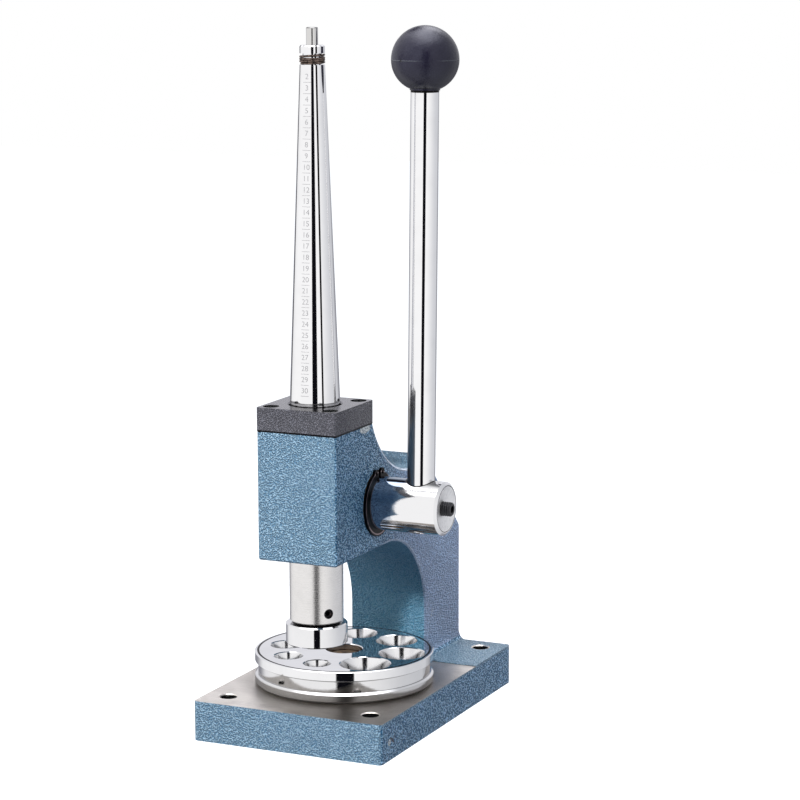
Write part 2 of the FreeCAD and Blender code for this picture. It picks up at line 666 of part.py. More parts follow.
def make_die_pivot_stud():
    """Shouldered stud, pressed into the base, on which the die plate turns."""
    body = new_body("die_pivot_stud", 0, die_line, 0)
    head_radius = s.die_centre_radius - s.running_gap
    head_top = s.die_top - s.stud_below_top
    turn_profile(body, [
        (0, s.base_thick - s.stud_depth), (s.stud_radius, s.base_thick - s.stud_depth),
        (s.stud_radius, s.base_thick), (head_radius, s.base_thick), (head_radius, head_top - s.stud_edge),
        (head_radius - s.stud_edge, head_top), (0, head_top),
    ])


def make_cross_shaft():
    """Polished bar through the head: pinion seat and journal inside, hub with a dished end outside."""
    body = new_body("shaft_blank", 0, shaft_line, s.shaft_rise, LEVER_TURN)
    left_end = -half_width - s.end_play
    ring_start = half_width + s.end_play
    groove_radius = s.hub_radius - s.ring_sunk
    groove_end = ring_start + s.ring_thick + s.running_gap
    turn_profile(body, [
        (left_end, s.end_screw_radius), (left_end, s.journal_radius),
        (s.pinion_width / 2, s.journal_radius), (s.pinion_width / 2, s.hub_radius),
        (ring_start, s.hub_radius), (ring_start, groove_radius), (groove_end, groove_radius),
        (groove_end, s.hub_radius), (s.hub_end - s.hub_edge, s.hub_radius),
        (s.hub_end, s.hub_radius - s.hub_edge), (s.hub_end, s.hub_dish_radius),
        (s.hub_end - s.hub_dish, s.lever_screw_radius),
        (s.lever_offset, s.lever_screw_radius), (s.lever_offset, 0),
        (left_end + s.end_screw_length + s.thread_room, 0),
        (left_end + s.end_screw_length + s.thread_room, s.end_screw_radius),
    ], axis="H_Axis")
    lever_hole = new_sketch(body, "XY_Plane")
    draw_circle(lever_hole, s.lever_offset, 0, s.lever_radius)
    extrude(body, "Pocket", lever_hole, 3 * s.hub_radius, midplane=True)
    key_seat = new_sketch(body, "XY_Plane", s.journal_radius - s.key_sunk)
    draw_outline(key_seat, rectangle(as_size(0), as_size(0), s.key_length, s.key_width))
    extrude(body, "Pocket", key_seat, s.key_height, reverse=True)
    named(body, "cross_shaft")


def involute_point(base_radius, radius, lead):
    """Point of an involute at a radius, on the side of a tooth that leads its middle by an angle."""
    roll = math.acos(base_radius / radius)
    angle = lead - (math.tan(roll) - roll)
    return Vector(0, radius * math.cos(angle), radius * math.sin(angle))


def make_pinion():
    """Spur pinion that meshes with the rack, with a keyway for its key."""
    module = s.tooth_module.value
    teeth = int(s.pinion_teeth.value)
    pressure = math.radians(s.pressure_angle.value)
    base_radius = pitch_radius.value * math.cos(pressure)
    involute_start = max(base_radius, root_radius.value) + TOUCH
    middle_radius = (involute_start + tip_radius.value) / 2
    half_tooth = (math.pi * module / 4 - s.tooth_backlash.value / 2) / pitch_radius.value
    lead = half_tooth + math.tan(pressure) - pressure
    first_tooth = 180 + s.lever_lean.value
    edges = []
    for tooth in range(teeth):
        turn = Rotation(Vector(1, 0, 0), first_tooth + FULL_TURN * tooth / teeth)
        flank = [involute_point(base_radius, radius, lead)
                 for radius in (involute_start, middle_radius, tip_radius.value)]
        rising = [turn.multVec(Vector(0, point.y, -point.z)) for point in flank]
        falling = [turn.multVec(point) for point in reversed(flank)]
        tip = turn.multVec(Vector(0, tip_radius.value, 0))
        root_angle = math.atan2(flank[0].z, flank[0].y)
        roots = [turn.multVec(Vector(0, root_radius.value * math.cos(angle),
                                     root_radius.value * math.sin(angle)))
                 for angle in (-root_angle, root_angle, math.pi / teeth,
                               2 * math.pi / teeth - root_angle)]
        edges.append(Part.LineSegment(roots[0], rising[0]).toShape())
        edges.append(Part.Arc(*rising).toShape())
        edges.append(Part.Arc(rising[-1], tip, falling[0]).toShape())
        edges.append(Part.Arc(*falling).toShape())
        edges.append(Part.LineSegment(falling[-1], roots[1]).toShape())
        edges.append(Part.Arc(roots[1], roots[2], roots[3]).toShape())
    outline = Part.Wire(Part.__sortEdges__(edges))
    width = s.pinion_width.value
    solid = Part.Face(outline).extrude(Vector(width, 0, 0))
    solid.translate(Vector(-width / 2, 0, 0))
    bore = Part.makeCylinder(s.journal_radius.value, width, Vector(-width / 2, 0, 0), Vector(1, 0, 0))
    keyway_top = s.journal_radius.value - s.key_sunk.value + s.key_height.value
    keyway = Part.makeBox(width, s.key_width.value, keyway_top,
                          Vector(-width / 2, -s.key_width.value / 2, 0))
    pinion = named(doc.addObject("Part::Feature", "pinion"), "pinion")
    pinion.Shape = solid.cut(bore).cut(keyway)
    place(pinion, 0, shaft_line, s.shaft_rise, LEVER_TURN)


def make_pinion_key():
    """Parallel key between shaft and pinion."""
    body = new_body("pinion_key", 0, shaft_line, s.shaft_rise, LEVER_TURN)
    key = new_sketch(body, "XY_Plane", s.journal_radius - s.key_sunk)
    draw_outline(key, rectangle(as_size(0), as_size(0), s.key_length, s.key_width))
    extrude(body, "Pad", key, s.key_height)


def make_bush(label, outer, inner, start, end):
    """Plain bearing for the cross shaft, pressed into the head."""
    body = new_body(label, 0, shaft_line, s.shaft_rise)
    turn_profile(body, [(start, inner), (end, inner), (end, outer), (start, outer)], axis="H_Axis")


def make_retaining_ring():
    """External spring ring in the shaft's groove, widest below and with two eyed lugs beside its gap."""
    start = half_width + s.end_play
    inner = s.hub_radius - s.ring_sunk + s.running_gap
    lug_line = s.ring_radius - s.ring_lug_overlap
    spot = (start, shaft_line, s.shaft_rise)
    lugs = []
    eyes = []
    for side in (-1, 1):
        angle = side * s.ring_lug_spread
        centre = (start, shaft_line + lug_line * angle.sin(), s.shaft_rise + lug_line * angle.cos())
        lugs.append(cylinder(s.ring_lug_radius, s.ring_thick, *centre, ALONG_X))
        eyes.append(cylinder(s.ring_eye_radius, s.ring_thick, *centre, ALONG_X))
    gap = box(s.ring_thick, s.ring_gap, 2 * s.ring_radius, start,
              shaft_line - s.ring_gap / 2, s.shaft_rise)
    blank = fuse(cylinder(s.ring_radius, s.ring_thick, start, shaft_line, s.shaft_rise - s.ring_drop,
                          ALONG_X), *lugs)
    bore = cylinder(inner, s.ring_thick, *spot, ALONG_X)
    named(cut(blank, fuse(bore, gap, *eyes)), "retaining_ring")


def make_shaft_end():
    """Washer and screw that keep the cross shaft from leaving the head to the right."""
    face = -half_width - s.end_play
    spot = (face - s.washer_thick, shaft_line, s.shaft_rise)
    washer = cylinder(s.washer_radius, s.washer_thick, *spot, ALONG_X)
    named(cut(washer, cylinder(s.end_screw_radius, s.washer_thick, *spot, ALONG_X)),
          "shaft_end_washer")
    head_face = face - s.washer_thick - s.end_screw_head
    head = cylinder(s.end_screw_head_radius, s.end_screw_head, head_face, shaft_line, s.shaft_rise, ALONG_X)
    shank = cylinder(s.end_screw_radius, s.end_screw_length, *spot, ALONG_X)
    socket = hexagon(s.end_screw_socket, s.end_screw_head / 2, head_face,
                     shaft_line, s.shaft_rise, ALONG_X)
    named(cut(fuse(head, shank), socket), "shaft_end_screw")


def make_lever_rod():
    """Round rod through the hub, with a threaded stud for the knob."""
    body = new_body("lever_rod", s.lever_offset, shaft_line, s.shaft_rise, LEVER_TURN)
    stud_end = s.lever_length + s.lever_stud_length
    edge = s.lever_edge
    turn_profile(body, [
        (0, -s.lever_below), (s.lever_radius - edge, -s.lever_below),
        (s.lever_radius, -s.lever_below + edge), (s.lever_radius, s.lever_length),
        (s.lever_stud_radius, s.lever_length), (s.lever_stud_radius, stud_end), (0, stud_end),
    ])


def make_lever_set_screw():
    """Long grub screw in the hub's end, tight against the lever rod."""
    body = new_body("lever_set_screw", 0, shaft_line, s.shaft_rise, LEVER_TURN)
    edge = s.lever_screw_edge
    socket_floor = s.lever_screw_end - s.lever_screw_socket_depth
    turn_profile(body, [
        (lever_seat, 0), (lever_seat, s.lever_screw_radius),
        (s.lever_screw_end - edge, s.lever_screw_radius),
        (s.lever_screw_end, s.lever_screw_radius - edge), (s.lever_screw_end, 0),
    ], axis="H_Axis")
    socket = new_sketch(body, "YZ_Plane", socket_floor)
    corners = []
    for side in range(HEXAGON_SIDES):
        angle = as_size(FULL_TURN * side / HEXAGON_SIDES)
        corners.append((s.lever_screw_socket * angle.cos(), s.lever_screw_socket * angle.sin()))
    draw_outline(socket, corners)
    extrude(body, "Pocket", socket, s.lever_screw_socket_depth, reverse=True)


def make_ball_knob():
    """Moulded ball, drawn in below its parting line to a stepped flat, with a bore for its insert."""
    body = new_body("ball_knob", s.lever_offset, shaft_line, s.shaft_rise, LEVER_TURN)
    flat = s.knob_rise - s.knob_flat
    taper = s.knob_radius - s.knob_flat_radius
    lower_arc = (taper * taper + s.knob_flat * s.knob_flat) / (2 * taper)
    turn_profile(body, [
        (s.insert_radius, flat - s.knob_step), (s.knob_step_radius, flat - s.knob_step),
        (s.knob_step_radius, flat), (s.knob_flat_radius, flat, lower_arc),
        (s.knob_radius, s.knob_rise, s.knob_radius),
        (0, s.knob_rise + s.knob_radius), (0, flat + s.insert_length),
        (s.insert_radius, flat + s.insert_length),
    ])


def make_knob_insert():
    """Brass bush moulded into the knob, threaded for the lever's stud."""
    body = new_body("knob_insert", s.lever_offset, shaft_line, s.shaft_rise, LEVER_TURN)
    flat = s.knob_rise - s.knob_flat
    top = flat + s.insert_length
    stud_end = s.lever_length + s.lever_stud_length
    turn_profile(body, [
        (s.lever_stud_radius, flat - s.knob_step), (s.insert_radius, flat - s.knob_step),
        (s.insert_radius, top), (0, top), (0, stud_end + s.thread_room),
        (s.lever_stud_radius, stud_end + s.thread_room),
    ])


make_frame_casting()
make_mandrel_cap()
make_cap_screws()
make_mandrel_leaves()
make_leaf_spring()
make_core_rod()
make_core_lock_nut()
make_ram()
make_press_foot()
make_foot_set_screw()
make_die_plate()
make_die_pivot_stud()
make_cross_shaft()
make_pinion()
make_pinion_key()
make_bush("right_bush", right_bore_radius, s.hub_radius + s.running_gap, s.bush_inner_end, half_width)
make_bush("left_bush", left_bore_radius, s.journal_radius + s.running_gap, -half_width, s.left_bore_start)
make_retaining_ring()
make_shaft_end()
make_lever_rod()
make_lever_set_screw()
make_ball_knob()
make_knob_insert()
doc.recompute()

NODES = """
frame_casting mandrel_cap cap_screws mandrel_leaf_front mandrel_leaf_right mandrel_leaf_rear
mandrel_leaf_left leaf_spring core_rod core_lock_nut ram press_foot foot_set_screw die_plate
die_pivot_stud cross_shaft pinion pinion_key right_bush left_bush retaining_ring shaft_end_washer
shaft_end_screw lever_rod lever_set_screw ball_knob knob_insert
""".split()

for thing in doc.Objects:
    if {"Invalid", "Error"} & set(thing.State):
        raise RuntimeError(f"{thing.Label} did not build: {thing.State}")
os.makedirs("parts", exist_ok=True)
for node in NODES:
    shape = doc.getObjectsByLabel(node)[0].Shape
    if shape.isNull() or not shape.isValid() or not shape.Solids:
        raise RuntimeError(f"{node} is not a valid solid")
for node in NODES:
    doc.getObjectsByLabel(node)[0].Shape.exportStep(f"parts/{node}.step")
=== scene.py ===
import math

import bmesh
import bpy
from mathutils import Matrix, Vector, noise


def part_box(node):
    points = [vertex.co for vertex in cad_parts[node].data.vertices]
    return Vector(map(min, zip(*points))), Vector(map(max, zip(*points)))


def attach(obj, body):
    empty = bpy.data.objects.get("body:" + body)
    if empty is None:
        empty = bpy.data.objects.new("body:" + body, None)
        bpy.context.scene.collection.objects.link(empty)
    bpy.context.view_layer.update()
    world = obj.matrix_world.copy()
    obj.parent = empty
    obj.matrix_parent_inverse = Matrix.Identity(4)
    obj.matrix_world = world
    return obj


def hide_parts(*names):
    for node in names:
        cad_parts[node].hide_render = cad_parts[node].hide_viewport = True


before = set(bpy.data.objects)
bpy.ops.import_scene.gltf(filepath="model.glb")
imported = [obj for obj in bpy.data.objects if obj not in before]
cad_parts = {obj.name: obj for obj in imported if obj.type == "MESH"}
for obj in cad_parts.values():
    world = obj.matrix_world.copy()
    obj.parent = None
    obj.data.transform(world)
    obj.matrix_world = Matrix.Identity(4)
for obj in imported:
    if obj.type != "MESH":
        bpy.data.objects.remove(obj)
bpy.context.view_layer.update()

# ---------------------------------------------------------------------------------------------
# The studio: white walls, a pale floor and four soft lamps.
# The dark side is where the camera stands, and polished steel shows it as one black stripe.
# ---------------------------------------------------------------------------------------------
scene = bpy.context.scene
scene.view_settings.view_transform = "Standard"
MM = 0.001

CAMERA_PLACE = (0.56434, -1.17055, 0.38356)
CAMERA_YAW, CAMERA_PITCH, CAMERA_ROLL = 24.788, -9.865, -0.151
CAMERA_LENS = 120.8

# The walls that steel shows, and the light that falls on everything else.
WALL_LEFT = (1.0, 0.995, 0.99, 1)
WALL_RIGHT = (0.64, 0.65, 0.68, 1)
WALL_BEHIND = (0.80, 0.80, 0.84, 1)
FLOOR_BEHIND = (0.28, 0.28, 0.31, 1)
DARK_SIDE = (0.004, 0.004, 0.006, 1)
AMBIENT = (0.045, 0.11, 0.20, 1)
WHITE = (1, 1, 1, 1)

# Azimuths are in degrees, with a spread of half angle and soft edge. Heights are the upward part
# of a direction of length 1; a pair of them is where a change starts and where it ends.
RIGHT_AZIMUTH, RIGHT_CHANGE = 165, (-0.6, 1.1)
BEHIND_SPREAD = (38, 30)
HORIZON = (-0.12, 0.02)
STRIPE_OFFSET, STRIPE_SPREAD, STRIPE_TOP = 2, (11.5, 1.5), (0.5, 0.7)
BEAM_AZIMUTH, BEAM_SPREAD = 222, (14, 6)
BEAM_FOOT, BEAM_TOP = (0.42, 0.48), (0.76, 0.82)
SLAT_X, SLAT_Y, SLAT_HALF, SLAT_HEIGHT = -0.413, -0.18, 0.03, 0.8
PANEL_AZIMUTH, PANEL_SPREAD, PANEL_FOOT = 208, (34, 20), (0.50, 0.56)
OVERHEAD = (0.75, 0.98)
PANEL_GLOW = 3.5
SECOND_HEIGHT, SECOND_LOSS = (0.1, 0.4), 0.7

FLOOR_HALF = 3.0
FLOOR_DROP = 0.00005
FLOOR_WHITE = (0.8, 0.8, 0.8, 1)
FLOOR_BLACK = (0, 0, 0, 1)
FLOOR_DULL = (0.22, 0.27, 0.35, 1)
FLOOR_GLOW = 0.88
FULL_GLOW_FROM = (0.2, 0.6)

# Name: place, aim, size, watts, colour, and the rays that don't see the lamp.
LAMPS = {
    "key_lamp": ((-1.05, -0.95, 1.05), (0, 0, 0.15), 0.9, 23, (1, 1, 1), ["glossy"]),
    "side_lamp": ((0.20, -0.95, 0.85), (0.02, -0.02, 0.1), 0.12, 21, (0.88, 0.95, 1), ["glossy"]),
    "rear_lamp": ((0.10, 0.30, 0.12), (0.02, 0.05, 0.07), 0.12, 0.7, (1, 0.94, 1), ["glossy", "camera"]),
    "top_lamp": ((0.05, 0.15, 1.35), (0, 0, 0.1), 0.8, 2.5, (1, 1, 1), []),
}


class Wire:
    """A socket of a material's nodes. Sums on it add the nodes that work them out."""

    def __init__(self, tree, socket=None):
        self.tree = tree
        self.socket = socket

    def add(self, kind, settings=None, sockets=None, output=0):
        """A new node: its settings go in first, then the values or wires of its sockets."""
        node = self.tree.nodes.new(kind)
        for name, value in (settings or {}).items():
            setattr(node, name, value)
        for name, value in (sockets or {}).items():
            if isinstance(value, Wire):
                self.tree.links.new(value.socket, node.inputs[name])
            else:
                node.inputs[name].default_value = value
        return Wire(self.tree, node.outputs[output]) if node.outputs else Wire(self.tree)

    def _math(self, operation, *terms):
        return self.add("ShaderNodeMath", {"operation": operation}, dict(enumerate(terms)))

    def __add__(self, other):
        return self._math("ADD", self, other)

    def __sub__(self, other):
        return self._math("SUBTRACT", self, other)

    def __rsub__(self, other):
        return self._math("SUBTRACT", other, self)

    def __mul__(self, other):
        return self._math("MULTIPLY", self, other)

    def __truediv__(self, other):
        return self._math("DIVIDE", self, other)

    def __pow__(self, other):
        return self._math("POWER", self, other)

    def __lt__(self, other):
        return self._math("LESS_THAN", self, other)

    def __gt__(self, other):
        return self._math("GREATER_THAN", self, other)

    def __abs__(self):
        return self._math("ABSOLUTE", self)

    __radd__ = __add__
    __rmul__ = __mul__


def rise(wire, low, high):
    """0 below low and 1 above high, with a smooth step between them."""
    return wire.add("ShaderNodeMapRange", {"interpolation_type": "SMOOTHSTEP"},
                    {"Value": wire, "From Min": low, "From Max": high})


def blend(mask, low, high):
    """Colour low where the mask is 0, and high where it is 1."""
    return mask.add("ShaderNodeMix", {"data_type": "RGBA"}, {0: mask, 6: low, 7: high}, 2)


def near(wire, value, gap):
    return wire.add("ShaderNodeMath", {"operation": "COMPARE"}, {0: wire, 1: value, 2: gap})


def axis_of(spot, axis):
    return spot.add("ShaderNodeSeparateXYZ", None, {0: spot}, axis)


def facing(direction, azimuth):
    """Cosine of the angle, in plan, to an azimuth: 0 looks along -Y, and 90 along +X."""
    turn = math.radians(azimuth)
    level = direction.add("ShaderNodeVectorMath", {"operation": "MULTIPLY"}, {0: direction, 1: (1, 1, 0)})
    level = level.add("ShaderNodeVectorMath", {"operation": "NORMALIZE"}, {0: level})
    heading = (math.sin(turn), -math.cos(turn), 0)
    return level.add("ShaderNodeVectorMath", {"operation": "DOT_PRODUCT"}, {0: level, 1: heading}, "Value")


def within(half_angle, soft, cosine):
    """1 where an angle is under half_angle, fading out over soft degrees."""
    return rise(cosine, math.cos(math.radians(half_angle + soft / 2)),
                math.cos(math.radians(half_angle - soft / 2)))


def light_path(wire, output):
    return wire.add("ShaderNodeLightPath", output=output)


world = bpy.data.worlds.new("studio_walls")
world.use_nodes = True
world.cycles.sampling_method = "NONE"
scene.world = world
world.node_tree.nodes.clear()
room = Wire(world.node_tree)
direction = room.add("ShaderNodeTexCoord", output="Generated")
height = axis_of(direction, "Z")

walls = blend(rise(facing(direction, RIGHT_AZIMUTH), *RIGHT_CHANGE), WALL_LEFT, WALL_RIGHT)
behind = within(*BEHIND_SPREAD, facing(direction, CAMERA_YAW + 180))
below = 1 - rise(height, *HORIZON)
walls = blend(behind * (1 - below), walls, WALL_BEHIND)
walls = blend(behind * below, walls, FLOOR_BEHIND)
beam = within(*BEAM_SPREAD, facing(direction, BEAM_AZIMUTH))
beam = beam * rise(height, *BEAM_FOOT) * (1 - rise(height, *BEAM_TOP))
slat = near(axis_of(direction, "X"), SLAT_X, SLAT_HALF) * near(axis_of(direction, "Y"), SLAT_Y, SLAT_HALF)
walls = blend(beam + slat * (height > SLAT_HEIGHT), walls, DARK_SIDE)
stripe = within(*STRIPE_SPREAD, facing(direction, CAMERA_YAW + STRIPE_OFFSET))
walls = blend(stripe * (1 - rise(height, *STRIPE_TOP)), walls, DARK_SIDE)

# Steel sees the walls and two bright panels; what it sees by way of other steel is dimmer.
shown_in_steel = light_path(room, "Is Glossy Ray") * (light_path(room, "Diffuse Depth") < 0.5)
seen = blend(shown_in_steel, AMBIENT, walls)
seen = blend(light_path(room, "Is Camera Ray") + light_path(room, "Is Transmission Ray"), seen, WHITE)
panel = within(*PANEL_SPREAD, facing(direction, PANEL_AZIMUTH)) * rise(height, *PANEL_FOOT)
panel = panel + (1 - panel) * rise(height, *OVERHEAD)
second = (light_path(room, "Glossy Depth") > 1.5) * rise(height, *SECOND_HEIGHT) * SECOND_LOSS
strength = (1 + shown_in_steel * panel * PANEL_GLOW) * (1 - shown_in_steel * second)
shine = room.add("ShaderNodeBackground", None, {"Color": seen, "Strength": strength})
room.add("ShaderNodeOutputWorld", None, {"Surface": shine})

floor_mesh = bpy.data.meshes.new("floor")
floor_mesh.from_pydata([(x * FLOOR_HALF, y * FLOOR_HALF, -FLOOR_DROP) for x, y in
                        ((-1, -1), (1, -1), (1, 1), (-1, 1))], [], [(0, 1, 2, 3)])
floor = bpy.data.objects.new("floor", floor_mesh)
scene.collection.objects.link(floor)
floor.visible_glossy = False
board = bpy.data.materials.new("white_board")
board.use_nodes = True
board.node_tree.nodes.clear()
sheet = Wire(board.node_tree)
from_middle = sheet.add("ShaderNodeTexCoord", output="Object")
from_middle = sheet.add("ShaderNodeVectorMath", {"operation": "LENGTH"}, {0: from_middle}, "Value")
glow = sheet.add("ShaderNodeEmission", None, {
    "Strength": FLOOR_GLOW + rise(from_middle, *FULL_GLOW_FROM) * (1 - FLOOR_GLOW)})
dark = sheet.add("ShaderNodeBsdfTransparent", None, {"Color": FLOOR_BLACK})
matt = sheet.add("ShaderNodeBsdfDiffuse", None, {"Color": FLOOR_WHITE})
half_matt = sheet.add("ShaderNodeMixShader", None, {0: 0.5, 1: dark, 2: matt})
shown = sheet.add("ShaderNodeAddShader", None, {0: half_matt, 1: glow})
dull = sheet.add("ShaderNodeBsdfDiffuse", None, {"Color": FLOOR_DULL})
faces = sheet.add("ShaderNodeMixShader", None, {0: light_path(sheet, "Is Camera Ray"), 1: dull, 2: shown})
sheet.add("ShaderNodeOutputMaterial", None, {"Surface": faces})
floor_mesh.materials.append(board)

for name, (place, aim, size, watts, tint, blind_rays) in LAMPS.items():
    lamp = bpy.data.lights.new(name, "AREA")
    lamp.size = size
    lamp.energy = watts
    lamp.color = tint
    holder = bpy.data.objects.new(name, lamp)
    holder.location = place
    holder.rotation_euler = (Vector(aim) - Vector(place)).to_track_quat("-Z", "Y").to_euler()
    scene.collection.objects.link(holder)
    for ray in blind_rays:
        setattr(holder, f"visible_{ray}", False)

lens = bpy.data.cameras.new("camera")
lens.lens = CAMERA_LENS
camera = bpy.data.objects.new("camera", lens)
camera.matrix_world = (Matrix.Translation(CAMERA_PLACE)
                       @ Matrix.Rotation(math.radians(CAMERA_YAW), 4, "Z")
                       @ Matrix.Rotation(math.radians(90 + CAMERA_PITCH), 4, "X")
                       @ Matrix.Rotation(math.radians(CAMERA_ROLL), 4, "Z"))
scene.collection.objects.link(camera)
scene.camera = camera


# ---------------------------------------------------------------------------------------------
# Frame casting: base plate, column and head, one grey-iron casting.
# It is sprayed with blue hammertone enamel; the base's top is milled bare, and the bores and
# bolt holes are drilled after painting. A few knocks have chipped the enamel.
# ---------------------------------------------------------------------------------------------
def new_finish(name, constants):
    """A material whose shader holds what is the same all over; with it, its place in millimetres."""
    material = bpy.data.materials.new(name)
    material.use_nodes = True
    shader = material.node_tree.nodes["Principled BSDF"]
    for socket, value in constants.items():
        shader.inputs[socket].default_value = value
    spot = Wire(material.node_tree).add("ShaderNodeTexCoord", output="Object")
    spot = spot.add("ShaderNodeVectorMath", {"operation": "SCALE"}, {0: spot, "Scale": 1 / MM})
    return material, shader, spot


def feed(shader, wires):
    for socket, wire in wires.items():
        wire.tree.links.new(wire.socket, shader.inputs[socket])


def stretch(spot, along, across=1.0, axis=2):
    """The place with one axis scaled by along and the others by across, for marks that run one way."""
    scale = [across] * 3
    scale[axis] = along
    return spot.add("ShaderNodeVectorMath", {"operation": "MULTIPLY"}, {0: spot, 1: scale})


def cloud(spot, scale, detail=2.0, rough=0.5):
    """Soft noise about 0.5; scale is how many swells there are in a millimetre."""
    return spot.add("ShaderNodeTexNoise", None,
                    {"Vector": spot, "Scale": scale, "Detail": detail, "Roughness": rough})


def reach(spot, centre, seen_along=None):
    """Distance of a place from a centre; seen_along names the axis that doesn't count."""
    counted = [0 if axis == seen_along else 1 for axis in "XYZ"]
    level = spot.add("ShaderNodeVectorMath", {"operation": "MULTIPLY"}, {0: spot, 1: counted})
    centre = [c * use for c, use in zip(centre, counted)]
    return level.add("ShaderNodeVectorMath", {"operation": "DISTANCE"}, {0: level, 1: centre}, "Value")


def bump(height, depth, strength=1.0):
    """A normal from a height of 0 to 1 that stands for depth millimetres."""
    return height.add("ShaderNodeBump", None,
                      {"Height": height, "Distance": depth * MM, "Strength": strength})


def pebbles(spot, cell):
    """Height of hammertone enamel: low, close-packed pebbles of about that size."""
    tilted = spot.add("ShaderNodeVectorRotate", {"rotation_type": "EULER_XYZ"}, {
        "Vector": stretch(spot, PEBBLE_RUN, 1.0, 1), "Rotation": PEBBLE_TILT})
    return rise(cloud(tilted, 1 / cell, 0.0, 0.5), 0.3, 0.7)


def patch(spot, centre, spread):
    """1 inside a ragged patch; spread is its half size along X, Y and Z."""
    offset = spot.add("ShaderNodeVectorMath", {"operation": "SUBTRACT"}, {0: spot, 1: centre})
    offset = offset.add("ShaderNodeVectorMath", {"operation": "DIVIDE"}, {0: offset, 1: spread})
    gap = offset.add("ShaderNodeVectorMath", {"operation": "LENGTH"}, {0: offset}, "Value")
    return 1 - rise(gap + cloud(spot, 0.8, 3.0) * 2 * RAGGED, 0.9 + RAGGED, 1.1 + RAGGED)


def scratch(spot, middle, slope, half_length, half_width):
    """1 along a scratch on a side that faces X; slope is its rise from level, in degrees."""
    turn = math.radians(slope)
    run, lift = axis_of(spot, "Y") - middle[1], axis_of(spot, "Z") - middle[2]
    along = run * math.cos(turn) + lift * math.sin(turn)
    aside = lift * math.cos(turn) - run * math.sin(turn) + (cloud(spot, 0.5, 2.0) - 0.5) * 1.2
    on_side = near(axis_of(spot, "X"), middle[0], 0.3)
    return (1 - rise(abs(along), half_length * 0.6, half_length)) * (
        1 - rise(abs(aside), half_width * 0.5, half_width * 1.3)) * on_side


def between(wire, low, high):
    return (wire > low) * (wire < high)


def dress(material, *nodes):
    """Give CAD nodes a finish through their material slots."""
    for name in nodes:
        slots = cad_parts[name].data.materials
        slots.clear()
        slots.append(material)


def corner(node, end):
    """A corner of a node's box in millimetres: end 0 is the lowest, and 1 the highest."""
    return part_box(node)[end] / MM


# Enamel
PAINT_DEEP = (0.104, 0.198, 0.283, 1)
PAINT_LIGHT = (0.278, 0.397, 0.486, 1)
SIDE_GAP_SHADE = (0.012, 0.075, 0.15, 1)
SIDE_GLINT = (0.38, 0.60, 0.80, 1)
SIDE_SHADE_TINT = (0.05, 0.26, 0.46, 1)
COLUMN_LAMPLIGHT = (0.46, 0.53, 0.70, 1)
THROAT_SHADE_TEAL = (0.10, 0.38, 0.55, 1)
RIDGE_SHADE = (0.02, 0.06, 0.10, 1)
EDGE_HIGHLIGHT = (0.85, 0.90, 0.97, 1)
PEBBLE = 0.68
PEBBLE_RUN = 0.6
PEBBLE_TILT = (0.6, 0.5, 0.8)
# Bare metal, and the filler that the chips lay open
MILLED_STEEL = (0.86, 0.81, 0.76, 1)
MILLED_STAIN_AND_SHADE = (0.30, 0.27, 0.245, 1)
PLATE_SHADOW_TONE = (0.20, 0.175, 0.155, 1)
BORE_SHADE = (0.02, 0.02, 0.02, 1)
FILLER_CREAM = (0.92, 0.89, 0.80, 1)
FILLER_GREY = (0.40, 0.41, 0.39, 1)
BARE_IRON = (0.05, 0.05, 0.06, 1)
SEAM_BLACK = (0.012, 0.012, 0.014, 1)
RAGGED = 0.45
# Sizes in millimetres: across is X, deep is Y and up is Z
HEAD_HALF, BASE_HALF = 20.75, 50.0
HEAD_BACK = -24.4
MILLED_BACK = 33.3
BOLT_ACROSS = 38.0
BOLT_ROWS = (-65.1, 67.5)
BOLT_BORE, BOLT_RIM = 4.15, 4.75
RAM_BORE, RAM_BORE_FROM = 13.2, 60
RAM_LINE = (corner("ram", 0).y + corner("ram", 1).y) / 2
PLATE_LINE = -15.0
COLUMN_FOOT = 22
THROAT_DEEP, THROAT_UP = (-12, 60), (24, 88)
RIDGE_DEEP, RIDGE_FROM = (24, 29, 37), 121
ARCH_CENTRE, ARCH_RADIUS = (0, -8.0, 45.2), 44.7
SADDLE_CENTRE, SADDLE_RADIUS = (0, 22, 173.02), 51.7
RISER_CENTRE, RISER_RADIUS = (0, 22, 144.45), 23.1
# Centre and spread of each chip; middle, slope, half length and half width of each scratch
CHIPS = [((20.75, -33.0, 150.2), (3, 5.6, 1.9)), ((50.0, -69.6, 8.9), (3, 1.7, 1.5))]
SCRATCHES = [((50.0, -66.4, 9.2), -38, 3.4, 0.5), ((50.0, -65.2, 10.2), 40, 2.6, 0.22),
             ((50.0, -64.3, 9.4), 42, 2.2, 0.18)]
SCUFF = ((20.75, 44.8, 42.2), 62, 2.8, 0.30)

casting_paint, shader, spot = new_finish("blue_hammertone", {
    "Coat Roughness": 0.12, "Specular IOR Level": 0.3})
across, deep, up = (axis_of(spot, axis) for axis in "XYZ")
milled_top = corner("die_plate", 0).z - 0.05
casting_top = corner("mandrel_cap", 0).z
from_ram = reach(spot, (0, RAM_LINE, 0), "Z")
